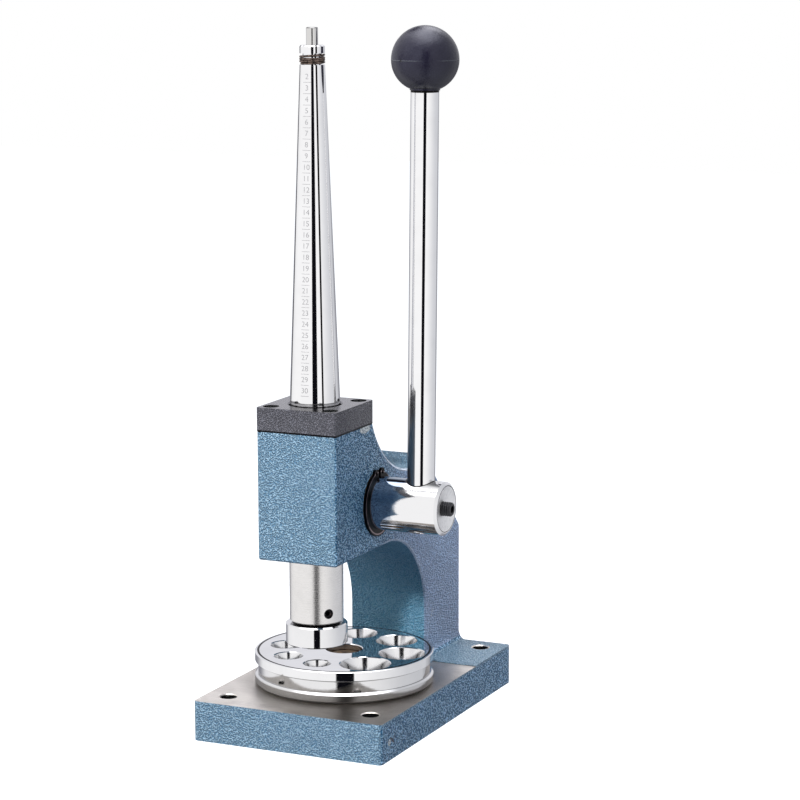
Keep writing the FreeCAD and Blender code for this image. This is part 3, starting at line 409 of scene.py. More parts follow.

# The enamel: pebbles coloured darker in their gaps and lighter on their tops, a painted shade and
# highlight.
grain = pebbles(spot, PEBBLE)
on_side = (abs(across) > HEAD_HALF - 0.45) * (up > milled_top + 1) + (
    abs(across) > BASE_HALF - 0.4) * (up < milled_top - 1)
colour = blend(grain, PAINT_DEEP, PAINT_LIGHT)
# On the upright sides: painted shade in the gaps, painted glints on the tops, and a painted shade tint over
# each side.
colour = blend(on_side * rise(1 - grain, 0.35, 0.70) * 0.88, colour, SIDE_GAP_SHADE)
colour = blend(on_side * rise(grain, 0.55, 0.85) * 0.75, colour, SIDE_GLINT)
colour = blend(on_side * 0.12, colour, SIDE_SHADE_TINT)
# Painted lavender lamplight on the column's side.
column = rise(deep, -25, 30) * (across > HEAD_HALF - 0.75) * (up > COLUMN_FOOT)
colour = blend(column * 0.55, colour, COLUMN_LAMPLIGHT)
# Painted shade in the throat under the head, and on the ridge behind the head.
throat_shade = (abs(across) < HEAD_HALF - 0.55) * between(up, *THROAT_UP) * between(deep, *THROAT_DEEP)
colour = blend(throat_shade * 0.4, colour, THROAT_SHADE_TEAL)
ridge = rise(deep, *RIDGE_DEEP[:2]) * (deep < RIDGE_DEEP[2]) * (across < HEAD_HALF - 0.55)
colour = blend(ridge * (up > RIDGE_FROM) * 0.6, colour, RIDGE_SHADE)

# Knocks: chips down to filler and iron, scratches down to iron, and a scuff.
chipped = sum(patch(spot, *chip) for chip in CHIPS)
scratched = sum(scratch(spot, *line) for line in SCRATCHES)
scuffed = scratch(spot, *SCUFF)
speckle = cloud(spot, 1.3, 3.0)
filler = blend(rise(speckle, 0.42, 0.52), FILLER_CREAM, FILLER_GREY)
filler = blend(rise(speckle, 0.56, 0.62), filler, BARE_IRON)
colour = blend(chipped, colour, filler)
colour = blend(scratched, colour, BARE_IRON)
colour = blend(scuffed * 0.6, colour, FILLER_CREAM)

# Bare metal: the milled field with its stains and a painted shade, the bolt holes' rims, and the bores,
# painted in shade.
milled = near(up, milled_top, 0.06) * (deep < MILLED_BACK + 0.05)
streaks = cloud(stretch(spot, 0.05, 6.0, 0), 1.0, 3.0, 0.6)
stain = cloud(spot, 0.06, 3.0, 0.6)
# Painted shade: the milled field darkens towards the right front.
shade_to_right_front = rise(across - deep * 0.4, 10, 60)
dull = rise(streaks, 0.3, 0.7) * 0.3 + rise(stain, 0.4, 0.75) * 0.3 + shade_to_right_front * 0.5
milled_tone = blend(dull, MILLED_STEEL, MILLED_STAIN_AND_SHADE)
# A painted shadow on the milled field round the die plate.
plate_shadow = 1 - rise(reach(spot, (0, PLATE_LINE, 0), "Z"), 45, 56)
milled_tone = blend(plate_shadow * 0.5, milled_tone, PLATE_SHADOW_TONE)
colour = blend(milled, colour, milled_tone)
bolt_place = spot.add("ShaderNodeCombineXYZ", None, {0: abs(across), 1: abs(deep - sum(BOLT_ROWS) / 2)})
bolt_gap = reach(bolt_place, (BOLT_ACROSS, (BOLT_ROWS[1] - BOLT_ROWS[0]) / 2, 0), "Z")
bolt_hole = (bolt_gap < BOLT_BORE) * (up < milled_top + 2) * (1 - near(up, milled_top, 0.02))
bolt_rim = (bolt_gap < BOLT_RIM) * between(up, milled_top - 0.75, milled_top + 2)
colour = blend(bolt_rim, colour, MILLED_STEEL)
ram_bore = (from_ram < RAM_BORE) * (up > RAM_BORE_FROM)
drilled = bolt_hole + ram_bore
# Painted shade, nearly black, inside the bolt holes and the ram's bore.
colour = blend(drilled, colour, BORE_SHADE)

# Painted highlights along the edges of the arch and the saddle, and the dirt in the seam under the cap.
arch = near(reach(spot, ARCH_CENTRE, "X"), ARCH_RADIUS, 0.6) * rise(up, 46, 75)
saddle = near(reach(spot, SADDLE_CENTRE, "X"), SADDLE_RADIUS, 0.6) * (deep < SADDLE_CENTRE[1])
riser = near(reach(spot, RISER_CENTRE, "X"), RISER_RADIUS, 0.6) * (deep > RISER_CENTRE[1])
rim = (saddle + riser) * (deep > HEAD_BACK) * (up > 112)
colour = blend((arch * 0.6 + rim * 0.9) * (across > HEAD_HALF - 0.85), colour, EDGE_HIGHLIGHT)
seam = (up + cloud(spot, 0.12, 2.0) * 0.35 > casting_top - 0.2) * (1 - ram_bore)
colour = blend(seam, colour, SEAM_BLACK)

metal = milled + (bolt_rim > 0.5) * (1 - milled) + drilled * 0.7 + seam
painted = (1 - milled) * (1 - bolt_rim) * (1 - chipped) * (1 - seam)
enamel_height = grain * painted + streaks * milled * 0.06 - chipped * 0.6 - scratched * 0.8 - scuffed * 0.2
feed(shader, {
    "Base Color": colour,
    "Metallic": metal + painted * 0.2,
    "Roughness": 0.30 - milled * 0.02,
    "Coat Weight": painted * 0.05,
    "Normal": bump(enamel_height, 1.2),
})
dress(casting_paint, "frame_casting")


# ---------------------------------------------------------------------------------------------
# Mandrel cap: a square steel plate screwed to the head, which holds the mandrel's flanges down.
# Its sides are sprayed dark grey hammertone; its top is surface ground after painting.
# ---------------------------------------------------------------------------------------------
CAP_DEEP = (0.046, 0.042, 0.050, 1)
CAP_LIGHT = (0.108, 0.101, 0.114, 1)
GROUND_STEEL = (0.24, 0.235, 0.26, 1)
GROUND_DULL = (0.15, 0.145, 0.165, 1)
CAP_PEBBLE = PEBBLE * 0.85
CAP_BORE = 13.5
SCREW_OFFSET, SINK_RADIUS = 15.5, 3.95

cap_finish, shader, spot = new_finish("black_hammertone", {"Coat Roughness": 0.15})
up = axis_of(spot, "Z")
grain = pebbles(spot, CAP_PEBBLE)
cap_top = corner("mandrel_cap", 1).z
ground = up > cap_top - 0.05
machined = ground + (1 - ground) * (reach(spot, (0, RAM_LINE, 0), "Z") < CAP_BORE)
streaks = cloud(stretch(spot, 0.06, 7.0, 0), 1.0, 3.0, 0.6)
ground_tone = blend(rise(streaks, 0.3, 0.7), GROUND_STEEL, GROUND_DULL)
seam = up - cloud(spot, 0.12, 2.0) * 0.25 < casting_top + 0.35
quarter = spot.add("ShaderNodeVectorMath", {"operation": "SUBTRACT"}, {0: spot, 1: (0, RAM_LINE, 0)})
quarter = quarter.add("ShaderNodeVectorMath", {"operation": "ABSOLUTE"}, {0: quarter})
sink = (reach(quarter, (SCREW_OFFSET, SCREW_OFFSET, 0), "Z") < SINK_RADIUS) * (1 - ground)
# Darker in the pebbles' gaps and lighter on their tops: painted shade and highlight.
colour = blend(rise(grain, 0.15, 0.85), CAP_DEEP, CAP_LIGHT)
colour = blend(machined, colour, ground_tone)
# Painted shade in the counterbores round the screws.
colour = blend(sink, colour, BORE_SHADE)
colour = blend(seam, colour, SEAM_BLACK)
sprayed = (1 - machined) * (1 - seam)
feed(shader, {
    "Base Color": colour,
    "Metallic": machined + sprayed * 0.2 + seam * (1 - machined),
    "Roughness": 0.38 - machined * 0.14,
    "Coat Weight": sprayed * 0.3,
    "Normal": bump(grain * sprayed + streaks * machined * 0.02, 0.6),
})
dress(cap_finish, "mandrel_cap")


# ---------------------------------------------------------------------------------------------
# Small steel parts blackened in hot oxide and oiled: the four cap screws, the grub screws, the
# retaining ring on the cross shaft and the screw in its left end.
# ---------------------------------------------------------------------------------------------
OXIDE_BLACK = (0.016, 0.016, 0.018, 1)
OXIDE_RUBBED = (0.19, 0.13, 0.11, 1)
RING_BLACK = (0.004, 0.004, 0.005, 1)
RING_GLINT = (0.30, 0.24, 0.25, 1)
GLINT_FROM, GLINT_TO = (14.9, 15.1), (15.55, 15.75)

black_oxide, shader, spot = new_finish("black_oxide", {"Metallic": 1.0, "Specular IOR Level": 0.5})
rubbed_and_glint = rise(cloud(spot, 0.5, 4.0, 0.6), 0.52, 0.72)
feed(shader, {"Base Color": blend(rubbed_and_glint * 0.25, OXIDE_BLACK, OXIDE_RUBBED),
              "Roughness": 0.30 + cloud(spot, 1.5, 3.0) * 0.22,
              "Normal": bump(cloud(spot, 5.0, 2.0), 0.02, 0.5)})
dress(black_oxide, "cap_screws", "foot_set_screw", "shaft_end_screw")

ring_black, shader, spot = new_finish("black_ring", {"Metallic": 1.0})
shaft_line = (corner("pinion", 0) + corner("pinion", 1)) / 2
from_shaft = reach(spot, shaft_line, "X")
on_face = near(axis_of(spot, "X"), corner("retaining_ring", 1).x, 0.05)
# A painted glint in a narrow band on the ring's face.
rubbed_and_glint = rise(from_shaft, *GLINT_FROM) * (1 - rise(from_shaft, *GLINT_TO)) * on_face * rise(
    cloud(spot, 0.35, 4.0, 0.6), 0.3, 0.55)
feed(shader, {"Base Color": blend(rubbed_and_glint, RING_BLACK, RING_GLINT),
              "Roughness": 0.32 + cloud(spot, 1.5, 3.0) * 0.2,
              "Normal": bump(cloud(spot, 5.0, 2.0), 0.02, 0.5)})
dress(ring_black, "retaining_ring")


# ---------------------------------------------------------------------------------------------
# Mandrel: a hardened steel cone split into four leaves, ground, polished and chromed.
# Ring sizes are etched up the middle of the front leaf as plain numbers between short lines.
# ---------------------------------------------------------------------------------------------
CHROME = (0.93, 0.93, 0.945, 1)
SHADE_AND_GRIME = (0.012, 0.011, 0.012, 1)
TURNED_AND_REFLECTION_GREY = (0.66, 0.655, 0.66, 1)
FOOT_SHADE_TOP = (0.35, 0.75)
FOOT_LINE, FOOT_LINE_HALF = 1.5, 0.16
SLIT_REACH = 0.62


def polished(name, tint, rough, shade_and_grime=None, satin=None, turned=None):
    """Polished steel with faint lines. Shade_and_grime masks the places painted dark, mostly painted shade
    and painted reflections; satin masks places a little rough; turned masks places left as the lathe made
    them."""
    material, shader, spot = new_finish(name, {"Metallic": 1.0})
    lines = cloud(stretch(spot, 9.0, 0.3), 1.0, 3.0, 0.6)
    haze = cloud(spot, 0.08, 3.0, 0.6)
    colour = blend(rise(haze, 0.35, 0.8) * 0.5, tint, [shade * 0.88 for shade in tint[:3]] + [1])
    roughness = rough + rise(lines, 0.45, 0.8) * 0.03
    if shade_and_grime:
        shaded = shade_and_grime(spot)
        colour = blend(shaded, colour, SHADE_AND_GRIME)
        roughness = roughness + shaded * 0.4
    if satin:
        roughness = roughness + satin(spot) * 0.10
    if turned:
        turned_and_reflected = turned(spot)
        colour = blend(turned_and_reflected, colour, TURNED_AND_REFLECTION_GREY)
        lines = lines + lines * turned_and_reflected * 14
    feed(shader, {"Base Color": colour, "Roughness": roughness, "Normal": bump(lines, 0.004, 0.25)})
    return material


def mandrel_dark_lines(spot):
    """Painted shade in the gap at the mandrel's foot and in the slits between the leaves, and a thin dark
    line above the foot.
    """
    up = axis_of(spot, "Z")
    low = 1 - rise(up + cloud(spot, 0.6, 2.0) * 0.5, cap_top + FOOT_SHADE_TOP[0], cap_top + FOOT_SHADE_TOP[1])
    line = near(up, cap_top + FOOT_LINE, FOOT_LINE_HALF)
    slit = abs(abs(axis_of(spot, "X")) - abs(axis_of(spot, "Y") - RAM_LINE)) < SLIT_REACH
    return low + line * 0.8 + slit * (1 - low) * (1 - line)


mandrel_chrome = polished("chromed_mandrel", CHROME, 0.045, shade_and_grime=mandrel_dark_lines)

CONE_START, CONE_END = 165.0, 323.4
CONE_RADIUS, TIP_RADIUS = 12.0, 5.95
CORE_BORE, TAPER_BORE, BORE_TOP = 2.2, 4.29, 302.5
PIN_BORE = 3.1
FLANGE_RADIUS, FLANGE_THICK = 16.5, 4.2
GROOVE_RADIUS, GROOVE_END = 4.5, 328.7
LIP_EDGE = 0.5
KERF_HALF = 0.3
LEAF_COLUMNS = 24
CONE_ROWS = 12
leaf_bottom, leaf_top = (corner("mandrel_leaf_front", end).z for end in (0, 1))


def cone_radius(z):
    return CONE_RADIUS + (TIP_RADIUS - CONE_RADIUS) * (z - CONE_START) / (CONE_END - CONE_START)


LEAF_OUTLINE = [
    (CORE_BORE, leaf_bottom), (FLANGE_RADIUS, leaf_bottom), (FLANGE_RADIUS, leaf_bottom + FLANGE_THICK),
    (CONE_RADIUS, leaf_bottom + FLANGE_THICK),
    *((cone_radius(z), z) for z in (
        CONE_START + (CONE_END - CONE_START) * row / CONE_ROWS for row in range(CONE_ROWS + 1))),
    (GROOVE_RADIUS, CONE_END), (GROOVE_RADIUS, GROOVE_END), (TIP_RADIUS, GROOVE_END),
    (TIP_RADIUS, leaf_top - LIP_EDGE), (TIP_RADIUS - LIP_EDGE, leaf_top), (PIN_BORE, leaf_top),
    (PIN_BORE, BORE_TOP), (TAPER_BORE, BORE_TOP)]


def leaf_mesh(heading):
    """A quarter of the split cone: its outline turned through as much of a quarter as the saw left."""
    vertices, faces = [], []
    for radius, z in LEAF_OUTLINE:
        half_turn = math.acos(KERF_HALF / radius) - math.pi / 4
        for column in range(LEAF_COLUMNS + 1):
            turn = math.radians(heading) + half_turn * (2 * column / LEAF_COLUMNS - 1)
            vertices.append(Vector((radius * math.sin(turn), RAM_LINE - radius * math.cos(turn), z)) * MM)
    count, width = len(LEAF_OUTLINE), LEAF_COLUMNS + 1
    for row in range(count):
        start, following = row * width, (row + 1) % count * width
        for column in range(LEAF_COLUMNS):
            faces.append((start + column, start + column + 1, following + column + 1, following + column))
    faces.append([row * width for row in range(count)])
    faces.append([row * width + LEAF_COLUMNS for row in reversed(range(count))])
    return vertices, faces


def new_piece(name, body, material, mesh_code=None, vertices=None, faces=None):
    """A mesh object that rides on a body, from mesh code or from plain lists of corners and faces."""
    mesh = bpy.data.meshes.new(name)
    if mesh_code is not None:
        mesh_code.to_mesh(mesh)
        mesh_code.free()
    else:
        mesh.from_pydata(vertices, [], faces)
    mesh.materials.append(material)
    piece = bpy.data.objects.new(name, mesh)
    scene.collection.objects.link(piece)
    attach(piece, body)
    return piece


SIZE_COUNT = 29
SIZE_PITCH = 5.25
SIZE_FIRST_Z = 171.0
DIGIT_HEIGHT = 2.7
MARK_HALF = 2.05
MARK_LINE = 0.22
DICE = 0.4
ETCH_LIFT = 0.012
ETCH_THICK = 0.02
ETCH_TURN = 2.0
ETCH_DARK = (0.42, 0.42, 0.44, 1)
ETCH_LIGHT = (0.66, 0.66, 0.68, 1)


def stamp_text(target, text, centre_z):
    """Flat outlines of a number, centred on the column, added to the drawing in X and Z."""
    curve = bpy.data.curves.new("number", "FONT")
    curve.body = text
    curve.size = DIGIT_HEIGHT * 1.35
    curve.align_x = "CENTER"
    curve.align_y = "CENTER"
    curve.resolution_u = 3
    holder = bpy.data.objects.new("number", curve)
    mesh = bpy.data.meshes.new_from_object(holder)
    mesh.transform(Matrix.Translation((0, 0, centre_z)) @ Matrix.Rotation(math.pi / 2, 4, "X"))
    target.from_mesh(mesh)
    bpy.data.objects.remove(holder)
    bpy.data.curves.remove(curve)
    bpy.data.meshes.remove(mesh)


# The numbers are drawn flat, diced into narrow strips, and wrapped round the cone.
etching = bmesh.new()
for index in range(SIZE_COUNT):
    z = SIZE_FIRST_Z + index * SIZE_PITCH
    stamp_text(etching, str(SIZE_COUNT + 1 - index), z)
    line_z = z - SIZE_PITCH / 2
    mark = [etching.verts.new((x, 0, line_z + h)) for x, h in (
        (-MARK_HALF, 0), (MARK_HALF, 0), (MARK_HALF, MARK_LINE), (-MARK_HALF, MARK_LINE))]
    etching.faces.new(mark)
slice_count = int(2 * MARK_HALF / DICE)
for step in range(-slice_count, slice_count + 1):
    everything = etching.verts[:] + etching.edges[:] + etching.faces[:]
    bmesh.ops.bisect_plane(etching, geom=everything, plane_co=(step * DICE / 2, 0, 0), plane_no=(1, 0, 0))
for vertex in etching.verts:
    radius = cone_radius(vertex.co.z) + ETCH_LIFT
    turn = vertex.co.x / radius + math.radians(ETCH_TURN)
    vertex.co = Vector((radius * math.sin(turn), RAM_LINE - radius * math.cos(turn), vertex.co.z)) * MM
bmesh.ops.recalc_face_normals(etching, faces=etching.faces)
bmesh.ops.solidify(etching, geom=etching.faces[:], thickness=ETCH_THICK * MM)

etched, shader, spot = new_finish("etched_steel", {"Metallic": 1.0})
feed(shader, {"Base Color": blend(cloud(spot, 1.5, 2.0), ETCH_DARK, ETCH_LIGHT),
              "Roughness": 0.42 + cloud(spot, 4.0, 2.0) * 0.2})
new_piece("mandrel_numbers", "leaf_front", etched, mesh_code=etching)

for heading, side in ((0, "front"), (90, "right"), (180, "rear"), (270, "left")):
    vertices, faces = leaf_mesh(heading)
    leaf = new_piece(f"mandrel_{side}", f"leaf_{side}", mandrel_chrome,
                     vertices=vertices, faces=faces)
    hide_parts(f"mandrel_leaf_{side}")
    leaf.data.shade_smooth()
    leaf.data.set_sharp_from_angle(angle=math.radians(25))


# ---------------------------------------------------------------------------------------------
# Leaf spring: brown spring wire wound by hand round the groove at the mandrel's tip, so its
# turns aren't quite even. It pulls the four leaves together when the core lets go of them.
# ---------------------------------------------------------------------------------------------
WIRE_RADIUS = 0.52
WIRE_SIDES = 10
COIL_RADIUS = 5.55
COIL_TURNS = 3.45
COIL_STEPS = 44
COIL_START = -0.7
TIGHT_SHARE = 0.14
WANDER_UP, WANDER_OUT = 0.28, 0.10
WIRE_DARK = (0.045, 0.036, 0.033, 1)
WIRE_RUST = (0.20, 0.15, 0.125, 1)
spring_low, spring_high = (corner("leaf_spring", end).z for end in (0, 1))


def tube(path, radius, sides):
    """Corners and faces of a closed round wire along a list of points."""
    vertices, faces = [], []
    for index, point in enumerate(path):
        ahead = path[min(index + 1, len(path) - 1)] - path[max(index - 1, 0)]
        outward = Vector((point.x, point.y - RAM_LINE * MM, 0)).normalized()
        rising = ahead.cross(outward).normalized()
        outward = rising.cross(ahead).normalized()
        for side in range(sides):
            angle = 2 * math.pi * side / sides
            vertices.append(point + (outward * math.cos(angle) + rising * math.sin(angle)) * radius)
    for ring in range(len(path) - 1):
        for side in range(sides):
            start, following = ring * sides, (side + 1) % sides
            faces.append((start + side, start + following, start + sides + following, start + sides + side))
    faces.append(tuple(reversed(range(sides))))
    faces.append(tuple(range(len(vertices) - sides, len(vertices))))
    return vertices, faces


coil = []
for step in range(int(COIL_TURNS * COIL_STEPS) + 1):
    turned = 2 * math.pi * step / COIL_STEPS + COIL_START
    share = step / (COIL_TURNS * COIL_STEPS)
    wobble = noise.noise(Vector((turned * 0.55, 0.7, 2.1)))
    climb = (1 - TIGHT_SHARE) * share + TIGHT_SHARE * share ** 6
    lift = spring_low + WIRE_RADIUS + climb * (
        spring_high - spring_low - 2 * WIRE_RADIUS) + wobble * WANDER_UP
    lift = min(max(lift, spring_low + WIRE_RADIUS), spring_high - WIRE_RADIUS)
    out = COIL_RADIUS + WANDER_OUT * abs(noise.noise(Vector((turned * 0.8, 3.3, 0.4))))
    coil.append(Vector((out * math.sin(turned), RAM_LINE - out * math.cos(turned), lift)) * MM)

spring_wire, shader, spot = new_finish("spring_wire", {"Metallic": 1.0})
rust = rise(cloud(spot, 0.55, 4.0, 0.6), 0.35, 0.62)
feed(shader, {"Base Color": blend(rust, WIRE_DARK, WIRE_RUST),
              "Roughness": 0.30 + rust * 0.15, "Normal": bump(cloud(spot, 3.0, 3.0), 0.03, 0.6)})
vertices, faces = tube(coil, WIRE_RADIUS * MM, WIRE_SIDES)
spring = new_piece("leaf_spring_wire", "frame", spring_wire, vertices=vertices, faces=faces)
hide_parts("leaf_spring")
for polygon in spring.data.polygons:
    polygon.use_smooth = len(polygon.vertices) == 4


# ---------------------------------------------------------------------------------------------
# Core rod and ram: bright bar turned on a lathe, which leaves fine rings round it. The core rod
# screws into the ram under its lock nut; washer, key and pinion are turned or cut from like bar.
# ---------------------------------------------------------------------------------------------
BAR_STEEL = (0.84, 0.825, 0.82, 1)
WASHER_STEEL = (0.66, 0.65, 0.64, 1)
CORE_STEEL = (0.70, 0.695, 0.69, 1)


def turned_steel(name, tint, rough, axis):
    """Satin steel with fine lathe rings; axis is the one that the piece was turned about."""
    material, shader, spot = new_finish(name, {"Metallic": 1.0})
    rings = cloud(stretch(spot, 7.0, 0.02, axis), 1.0, 4.0, 0.7)
    haze = cloud(spot, 0.12, 3.0, 0.6)
    shade = blend(rise(rings, 0.3, 0.75) * 0.4 + rise(haze, 0.4, 0.8) * 0.3, tint,
                  [tone * 0.78 for tone in tint[:3]] + [1])
    feed(shader, {"Base Color": shade, "Roughness": rough + rise(rings, 0.3, 0.8) * 0.07,
                  "Normal": bump(rings, 0.012, 0.5)})
    return material


def dull_end(spot):
    """The chamfer and end face of the core rod."""
    return (axis_of(spot, "Z") > corner("core_rod", 1).z - 0.5) * 0.7


dress(turned_steel("turned_bar", BAR_STEEL, 0.24, 2), "ram")
dress(polished("bright_core", CORE_STEEL, 0.06, shade_and_grime=dull_end), "core_rod", "core_lock_nut")
dress(turned_steel("turned_washer", WASHER_STEEL, 0.22, 0), "shaft_end_washer", "pinion", "pinion_key")


# ---------------------------------------------------------------------------------------------
# Press foot: a hardened and polished steel button on the end of the ram. A grub screw in the
# ram's wall holds its spigot.
# ---------------------------------------------------------------------------------------------
FOOT_STEEL = (0.86, 0.86, 0.875, 1)
COLLAR_RADIUS, COLLAR_HEIGHT = 11.6, 0.85


def collar_shade(spot):
    """Painted shade on the collar, in the gap between the foot's rim and the ram."""
    inside = reach(spot, (0, RAM_LINE, 0), "Z") < COLLAR_RADIUS
    return inside * (axis_of(spot, "Z") > corner("ram", 0).z - COLLAR_HEIGHT)


dress(polished("polished_foot", FOOT_STEEL, 0.06, shade_and_grime=collar_shade), "press_foot")


# ---------------------------------------------------------------------------------------------
# Die plate: turned from steel bar, polished and chromed, with a waist to grip it by and eight
# tapered seats. It turns on a brown, slightly rusty stud that is pressed into the base.
# ---------------------------------------------------------------------------------------------
DIE_STEEL = (0.89, 0.89, 0.905, 1)
STUD_BROWN = (0.10, 0.055, 0.03, 1)
STUD_RUST = (0.30, 0.20, 0.12, 1)
RIM_RADIUS = 44.1
RIM_HEIGHT = 4.4
FLANGE_HEIGHT = 5.0
die_low, die_high = corner("die_plate", 0), corner("die_plate", 1)
die_middle = (die_low + die_high) / 2
waist_top = die_high.z - RIM_HEIGHT
flange_top = die_low.z + FLANGE_HEIGHT


def plate_shade_lines(spot):
    """Painted shadow lines under the rim and at the plate's foot, and dark streaks round the flange, a
    painted reflection of the darker base.
    """
    up = axis_of(spot, "Z")
    out = reach(spot, die_middle, "Z")
    below_rim = between(out, RIM_RADIUS - 2.2, RIM_RADIUS - 1.1)
    under_rim = rise(up, waist_top - 1.1, waist_top - 0.5) * below_rim
    foot = up < die_low.z + 1.0
    streaks = rise(cloud(stretch(spot, 5.0, 0.15), 1.0, 3.0), 0.3, 0.7) * (up < flange_top - 1.0)
    return under_rim + foot + streaks * (1 - foot) * 0.4


def seats(spot):
    """The seats and the centre hole, which keep the satin of the lathe."""
    return (reach(spot, die_middle, "Z") < RIM_RADIUS - 1.8) * (axis_of(spot, "Z") < die_high.z - 0.03)


def waist_and_flange(spot):
    """The waist and the flange, whose turning lines still show; the flange is also greyed, a painted
    reflection of the darker base.
    """
    up = axis_of(spot, "Z")
    out = reach(spot, die_middle, "Z")
    waist = (out > RIM_RADIUS - 1.8) * (up < waist_top)
    flange = (up < flange_top - 0.7) * (out > RIM_RADIUS - 1.2)
    return waist * 0.35 + flange * 0.6


dress(polished("chromed_die_plate", DIE_STEEL, 0.04, shade_and_grime=plate_shade_lines, satin=seats,
               turned=waist_and_flange), "die_plate")

stud_rust, shader, spot = new_finish("rusty_stud", {})
patches = rise(cloud(spot, 0.45, 5.0, 0.65), 0.38, 0.62)
feed(shader, {"Base Color": blend(patches, STUD_BROWN, STUD_RUST),
              "Metallic": 1 - patches * 0.6, "Roughness": 0.35 + patches * 0.35,
              "Normal": bump(cloud(spot, 1.6, 4.0, 0.6), 0.08, 0.7)})
dress(stud_rust, "die_pivot_stud")


# ---------------------------------------------------------------------------------------------
# Cross shaft: a polished bar that carries the pinion inside the head and the lever outside it.
# It turns in two bronze bushes. Its right end face is left as turned, with a polished rim.
# ---------------------------------------------------------------------------------------------
SHAFT_STEEL = (0.88, 0.88, 0.895, 1)
END_BRIGHT = (0.90, 0.90, 0.91, 1)
END_HAZE = (0.68, 0.68, 0.69, 1)
REFLECTED_CASTING_BLUE = (0.15, 0.23, 0.35, 1)
REFLECTION_REACH, REFLECTION_SLOPE, REFLECTION_WAVE = 36, 0.35, 6
BRONZE_DARK = (0.20, 0.115, 0.05, 1)
BRONZE_LIGHT = (0.36, 0.23, 0.11, 1)
DISH_RADIUS, DISH_DEPTH = 11.0, 2.4
LEVER_LEAN = math.tan(math.radians(1.48))
LEVER_HOLE = 7.3
hub_end = corner("cross_shaft", 1).x
lever_x = (corner("lever_rod", 0).x + corner("lever_rod", 1).x) / 2

shaft_chrome, shader, spot = new_finish("chromed_shaft", {"Metallic": 1.0})
across, deep, up = (axis_of(spot, axis) for axis in "XYZ")
from_axis = reach(spot, shaft_line, "X")
lines = cloud(stretch(spot, 9.0, 0.3, 0), 1.0, 3.0, 0.6)
haze = cloud(spot, 0.5, 4.0, 0.6)
end_face = (across > hub_end - DISH_DEPTH) * (1 - rise(from_axis, DISH_RADIUS, DISH_RADIUS + 0.1))
edge_line = (across > hub_end - 0.3) * near(from_axis, DISH_RADIUS + 0.15, 0.18)
upright = spot.add("ShaderNodeCombineXYZ", None, {0: across, 1: deep - (up - shaft_line.z) * LEVER_LEAN})
lever_edge = 1 - rise(reach(upright, (lever_x, shaft_line.y, 0), "Z"), LEVER_HOLE, LEVER_HOLE + 0.3)
# A painted reflection of the blue head lies on the part of the shaft next to it.
reflection_end = REFLECTION_REACH + (up - shaft_line.z) * REFLECTION_SLOPE
casting_reflection = (1 - rise(across - reflection_end + (haze - 0.5) * REFLECTION_WAVE, -4, 1)) * (across > HEAD_HALF - 0.75)
colour = blend(end_face, SHAFT_STEEL, END_BRIGHT)
colour = blend(end_face * rise(haze, 0.45, 0.7) * 0.5, colour, END_HAZE)
colour = blend(casting_reflection * 0.8, colour, REFLECTED_CASTING_BLUE)
# Painted shade round the lever's hole, and a painted shadow line at the edge of the end face's dish.
colour = blend(lever_edge + edge_line, colour, SHADE_AND_GRIME)
feed(shader, {"Base Color": colour,
              "Roughness": 0.05 + end_face * 0.42 + lever_edge * 0.4 + rise(lines, 0.45, 0.8) * 0.03,
              "Normal": bump(lines * (1 - end_face) + haze * end_face, 0.008, 0.4)})
dress(shaft_chrome, "cross_shaft")

bush_bronze, shader, spot = new_finish("bush_bronze", {"Metallic": 1.0})
feed(shader, {"Base Color": blend(cloud(spot, 0.7, 3.0), BRONZE_DARK, BRONZE_LIGHT),
              "Roughness": 0.34 + cloud(spot, 2.0, 2.0) * 0.15})
dress(bush_bronze, "right_bush", "left_bush")


# ---------------------------------------------------------------------------------------------
# Lever rod: a chromed round bar through the hub, held by a long black grub screw whose thread
# stands out of the hub's end.
# ---------------------------------------------------------------------------------------------
SHOULDER_GAP = 0.75
REFLECTION_FADE = (158, 172)


def lever_shade_and_reflection(spot):
    """Painted shade in the gap under the ball, and a painted reflection of the head low on the side that
    faces it.
    """
    gap = axis_of(spot, "Z") > corner("ball_knob", 0).z - SHOULDER_GAP
    casting_reflection = (axis_of(spot, "X") < lever_x - 0.4) * (1 - rise(axis_of(spot, "Z"), *REFLECTION_FADE))
    return gap + casting_reflection * 0.62


dress(polished("chromed_lever", CHROME, 0.045, shade_and_grime=lever_shade_and_reflection), "lever_rod")

THREAD_PITCH = 1.15
THREAD_DEPTH = 0.5
THREAD_SIDES = 40
THREAD_STEPS = 8
SCREW_RADIUS = 3.5
SCREW_EDGE = 0.6
SOCKET_RADIUS = 2.0
SOCKET_DEPTH = 4.0
screw_start, screw_end = corner("lever_set_screw", 0).x, corner("lever_set_screw", 1).x


def thread_radius(x, side):
    """Radius of a rounded V thread at a place along the screw, chamfered at its outer end."""
    phase = (x / THREAD_PITCH - side / THREAD_SIDES) % 1.0
    crest = 0.5 + 0.5 * math.cos(2 * math.pi * phase)
    radius = SCREW_RADIUS - THREAD_DEPTH * (1 - crest ** 0.7)
    return min(radius, SCREW_RADIUS - SCREW_EDGE + (screw_end - x))


def round_shaft(x, radius, angle):
    """A point at a radius round the shaft's line, in metres."""
    return Vector((x, shaft_line.y + radius * math.cos(angle),
                   shaft_line.z + radius * math.sin(angle))) * MM


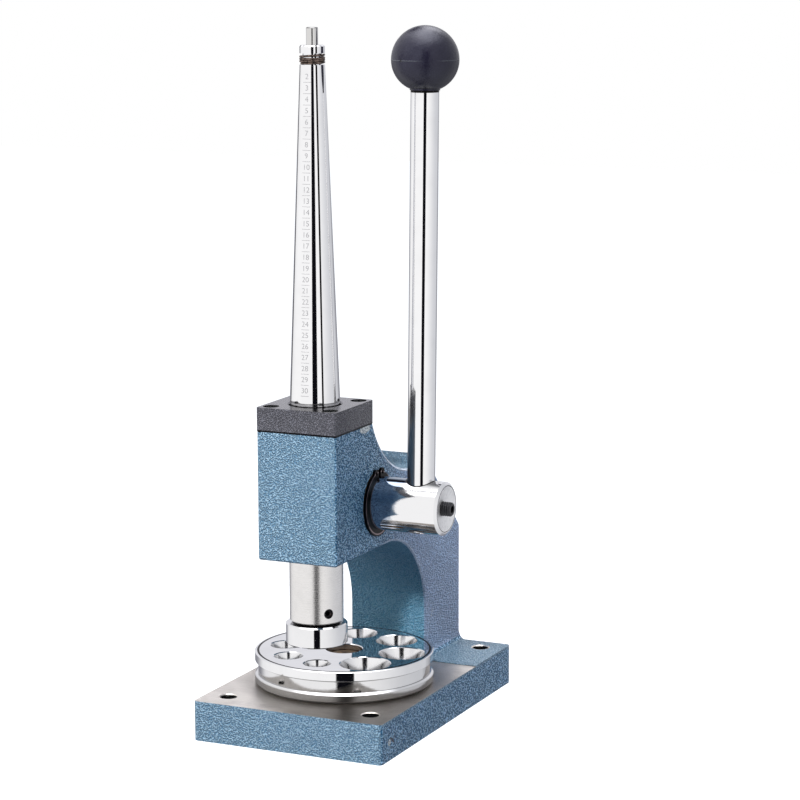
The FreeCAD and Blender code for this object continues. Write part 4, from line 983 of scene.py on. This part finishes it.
vertices, faces = [], []
rows = int((screw_end - screw_start) / THREAD_PITCH * THREAD_STEPS)
angles = [2 * math.pi * side / THREAD_SIDES for side in range(THREAD_SIDES)]
for row in range(rows + 1):
    x = screw_start + (screw_end - screw_start) * row / rows
    for side, angle in enumerate(angles):
        vertices.append(round_shaft(x, thread_radius(x, side), angle))
for x in (screw_end, screw_end - SOCKET_DEPTH):
    for angle in angles:
        sector = (angle + math.pi / 6) % (math.pi / 3) - math.pi / 6
        radius = SOCKET_RADIUS * math.cos(math.pi / 6) / math.cos(sector)
        vertices.append(round_shaft(x, radius, angle))
for row in range(rows + 2):
    for side in range(THREAD_SIDES):
        start, following = row * THREAD_SIDES, (side + 1) % THREAD_SIDES
        faces.append((start + side, start + following, start + THREAD_SIDES + following,
                      start + THREAD_SIDES + side))
faces.append(tuple(reversed(range(THREAD_SIDES))))
faces.append(tuple(range(len(vertices) - THREAD_SIDES, len(vertices))))
# The grub screw wears the frame's own plain black oxide, which was made above under this name.
grub_screw = new_piece("lever_grub_screw", "lever", bpy.data.materials["black_oxide"],
                       vertices=vertices, faces=faces)
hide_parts("lever_set_screw")


# ---------------------------------------------------------------------------------------------
# Ball knob: pressed from black phenolic in a two-part mould, which leaves a faint line round its
# middle, with a small pit on that line. A brass insert is moulded in for the lever's stud.
# ---------------------------------------------------------------------------------------------
KNOB_RADIUS = 16.1
KNOB_DEEP = (0.004, 0.003, 0.009, 1)
KNOB_LIGHT = (0.011, 0.010, 0.017, 1)
KNOB_SHEEN = (0.84, 0.86, 1.0, 1)
LINE_GREY = (0.075, 0.075, 0.080, 1)
PIT_BLACK = (0.004, 0.004, 0.005, 1)
PIT_HEADING = Vector((-0.36, -0.933, 0.0))
BRASS_DARK = (0.55, 0.38, 0.14, 1)
BRASS_LIGHT = (0.75, 0.56, 0.25, 1)
knob_middle = (corner("ball_knob", 0) + corner("ball_knob", 1)) / 2
knob_middle.z = corner("ball_knob", 1).z - KNOB_RADIUS

phenolic, shader, spot = new_finish("black_phenolic", {
    "Coat Roughness": 0.3, "Specular IOR Level": 0.5, "Specular Tint": KNOB_SHEEN})
off_line = abs(axis_of(spot, "Z") - knob_middle.z)
line = (1 - rise(off_line, 0.10, 0.32)) * rise(cloud(spot, 0.09, 2.0), 0.40, 0.62)
pit = 1 - rise(reach(spot, knob_middle + PIT_HEADING * KNOB_RADIUS), 0.4, 0.9)
mottle = cloud(spot, 0.14, 4.0, 0.6)
colour = blend(rise(mottle, 0.35, 0.75), KNOB_DEEP, KNOB_LIGHT)
colour = blend(line * 0.5, colour, LINE_GREY)
colour = blend(pit, colour, PIT_BLACK)
feed(shader, {"Base Color": colour,
              "Roughness": 0.30 + rise(mottle, 0.4, 0.8) * 0.12,
              "Normal": bump(line * 0.8 + cloud(spot, 0.45, 4.0, 0.6) * 1.2 - pit, 0.16, 0.8)})
dress(phenolic, "ball_knob")

insert_brass, shader, spot = new_finish("insert_brass", {"Metallic": 1.0})
feed(shader, {"Base Color": blend(cloud(spot, 0.8, 3.0), BRASS_DARK, BRASS_LIGHT),
              "Roughness": 0.25 + cloud(spot, 2.0, 2.0) * 0.15})
dress(insert_brass, "knob_insert")
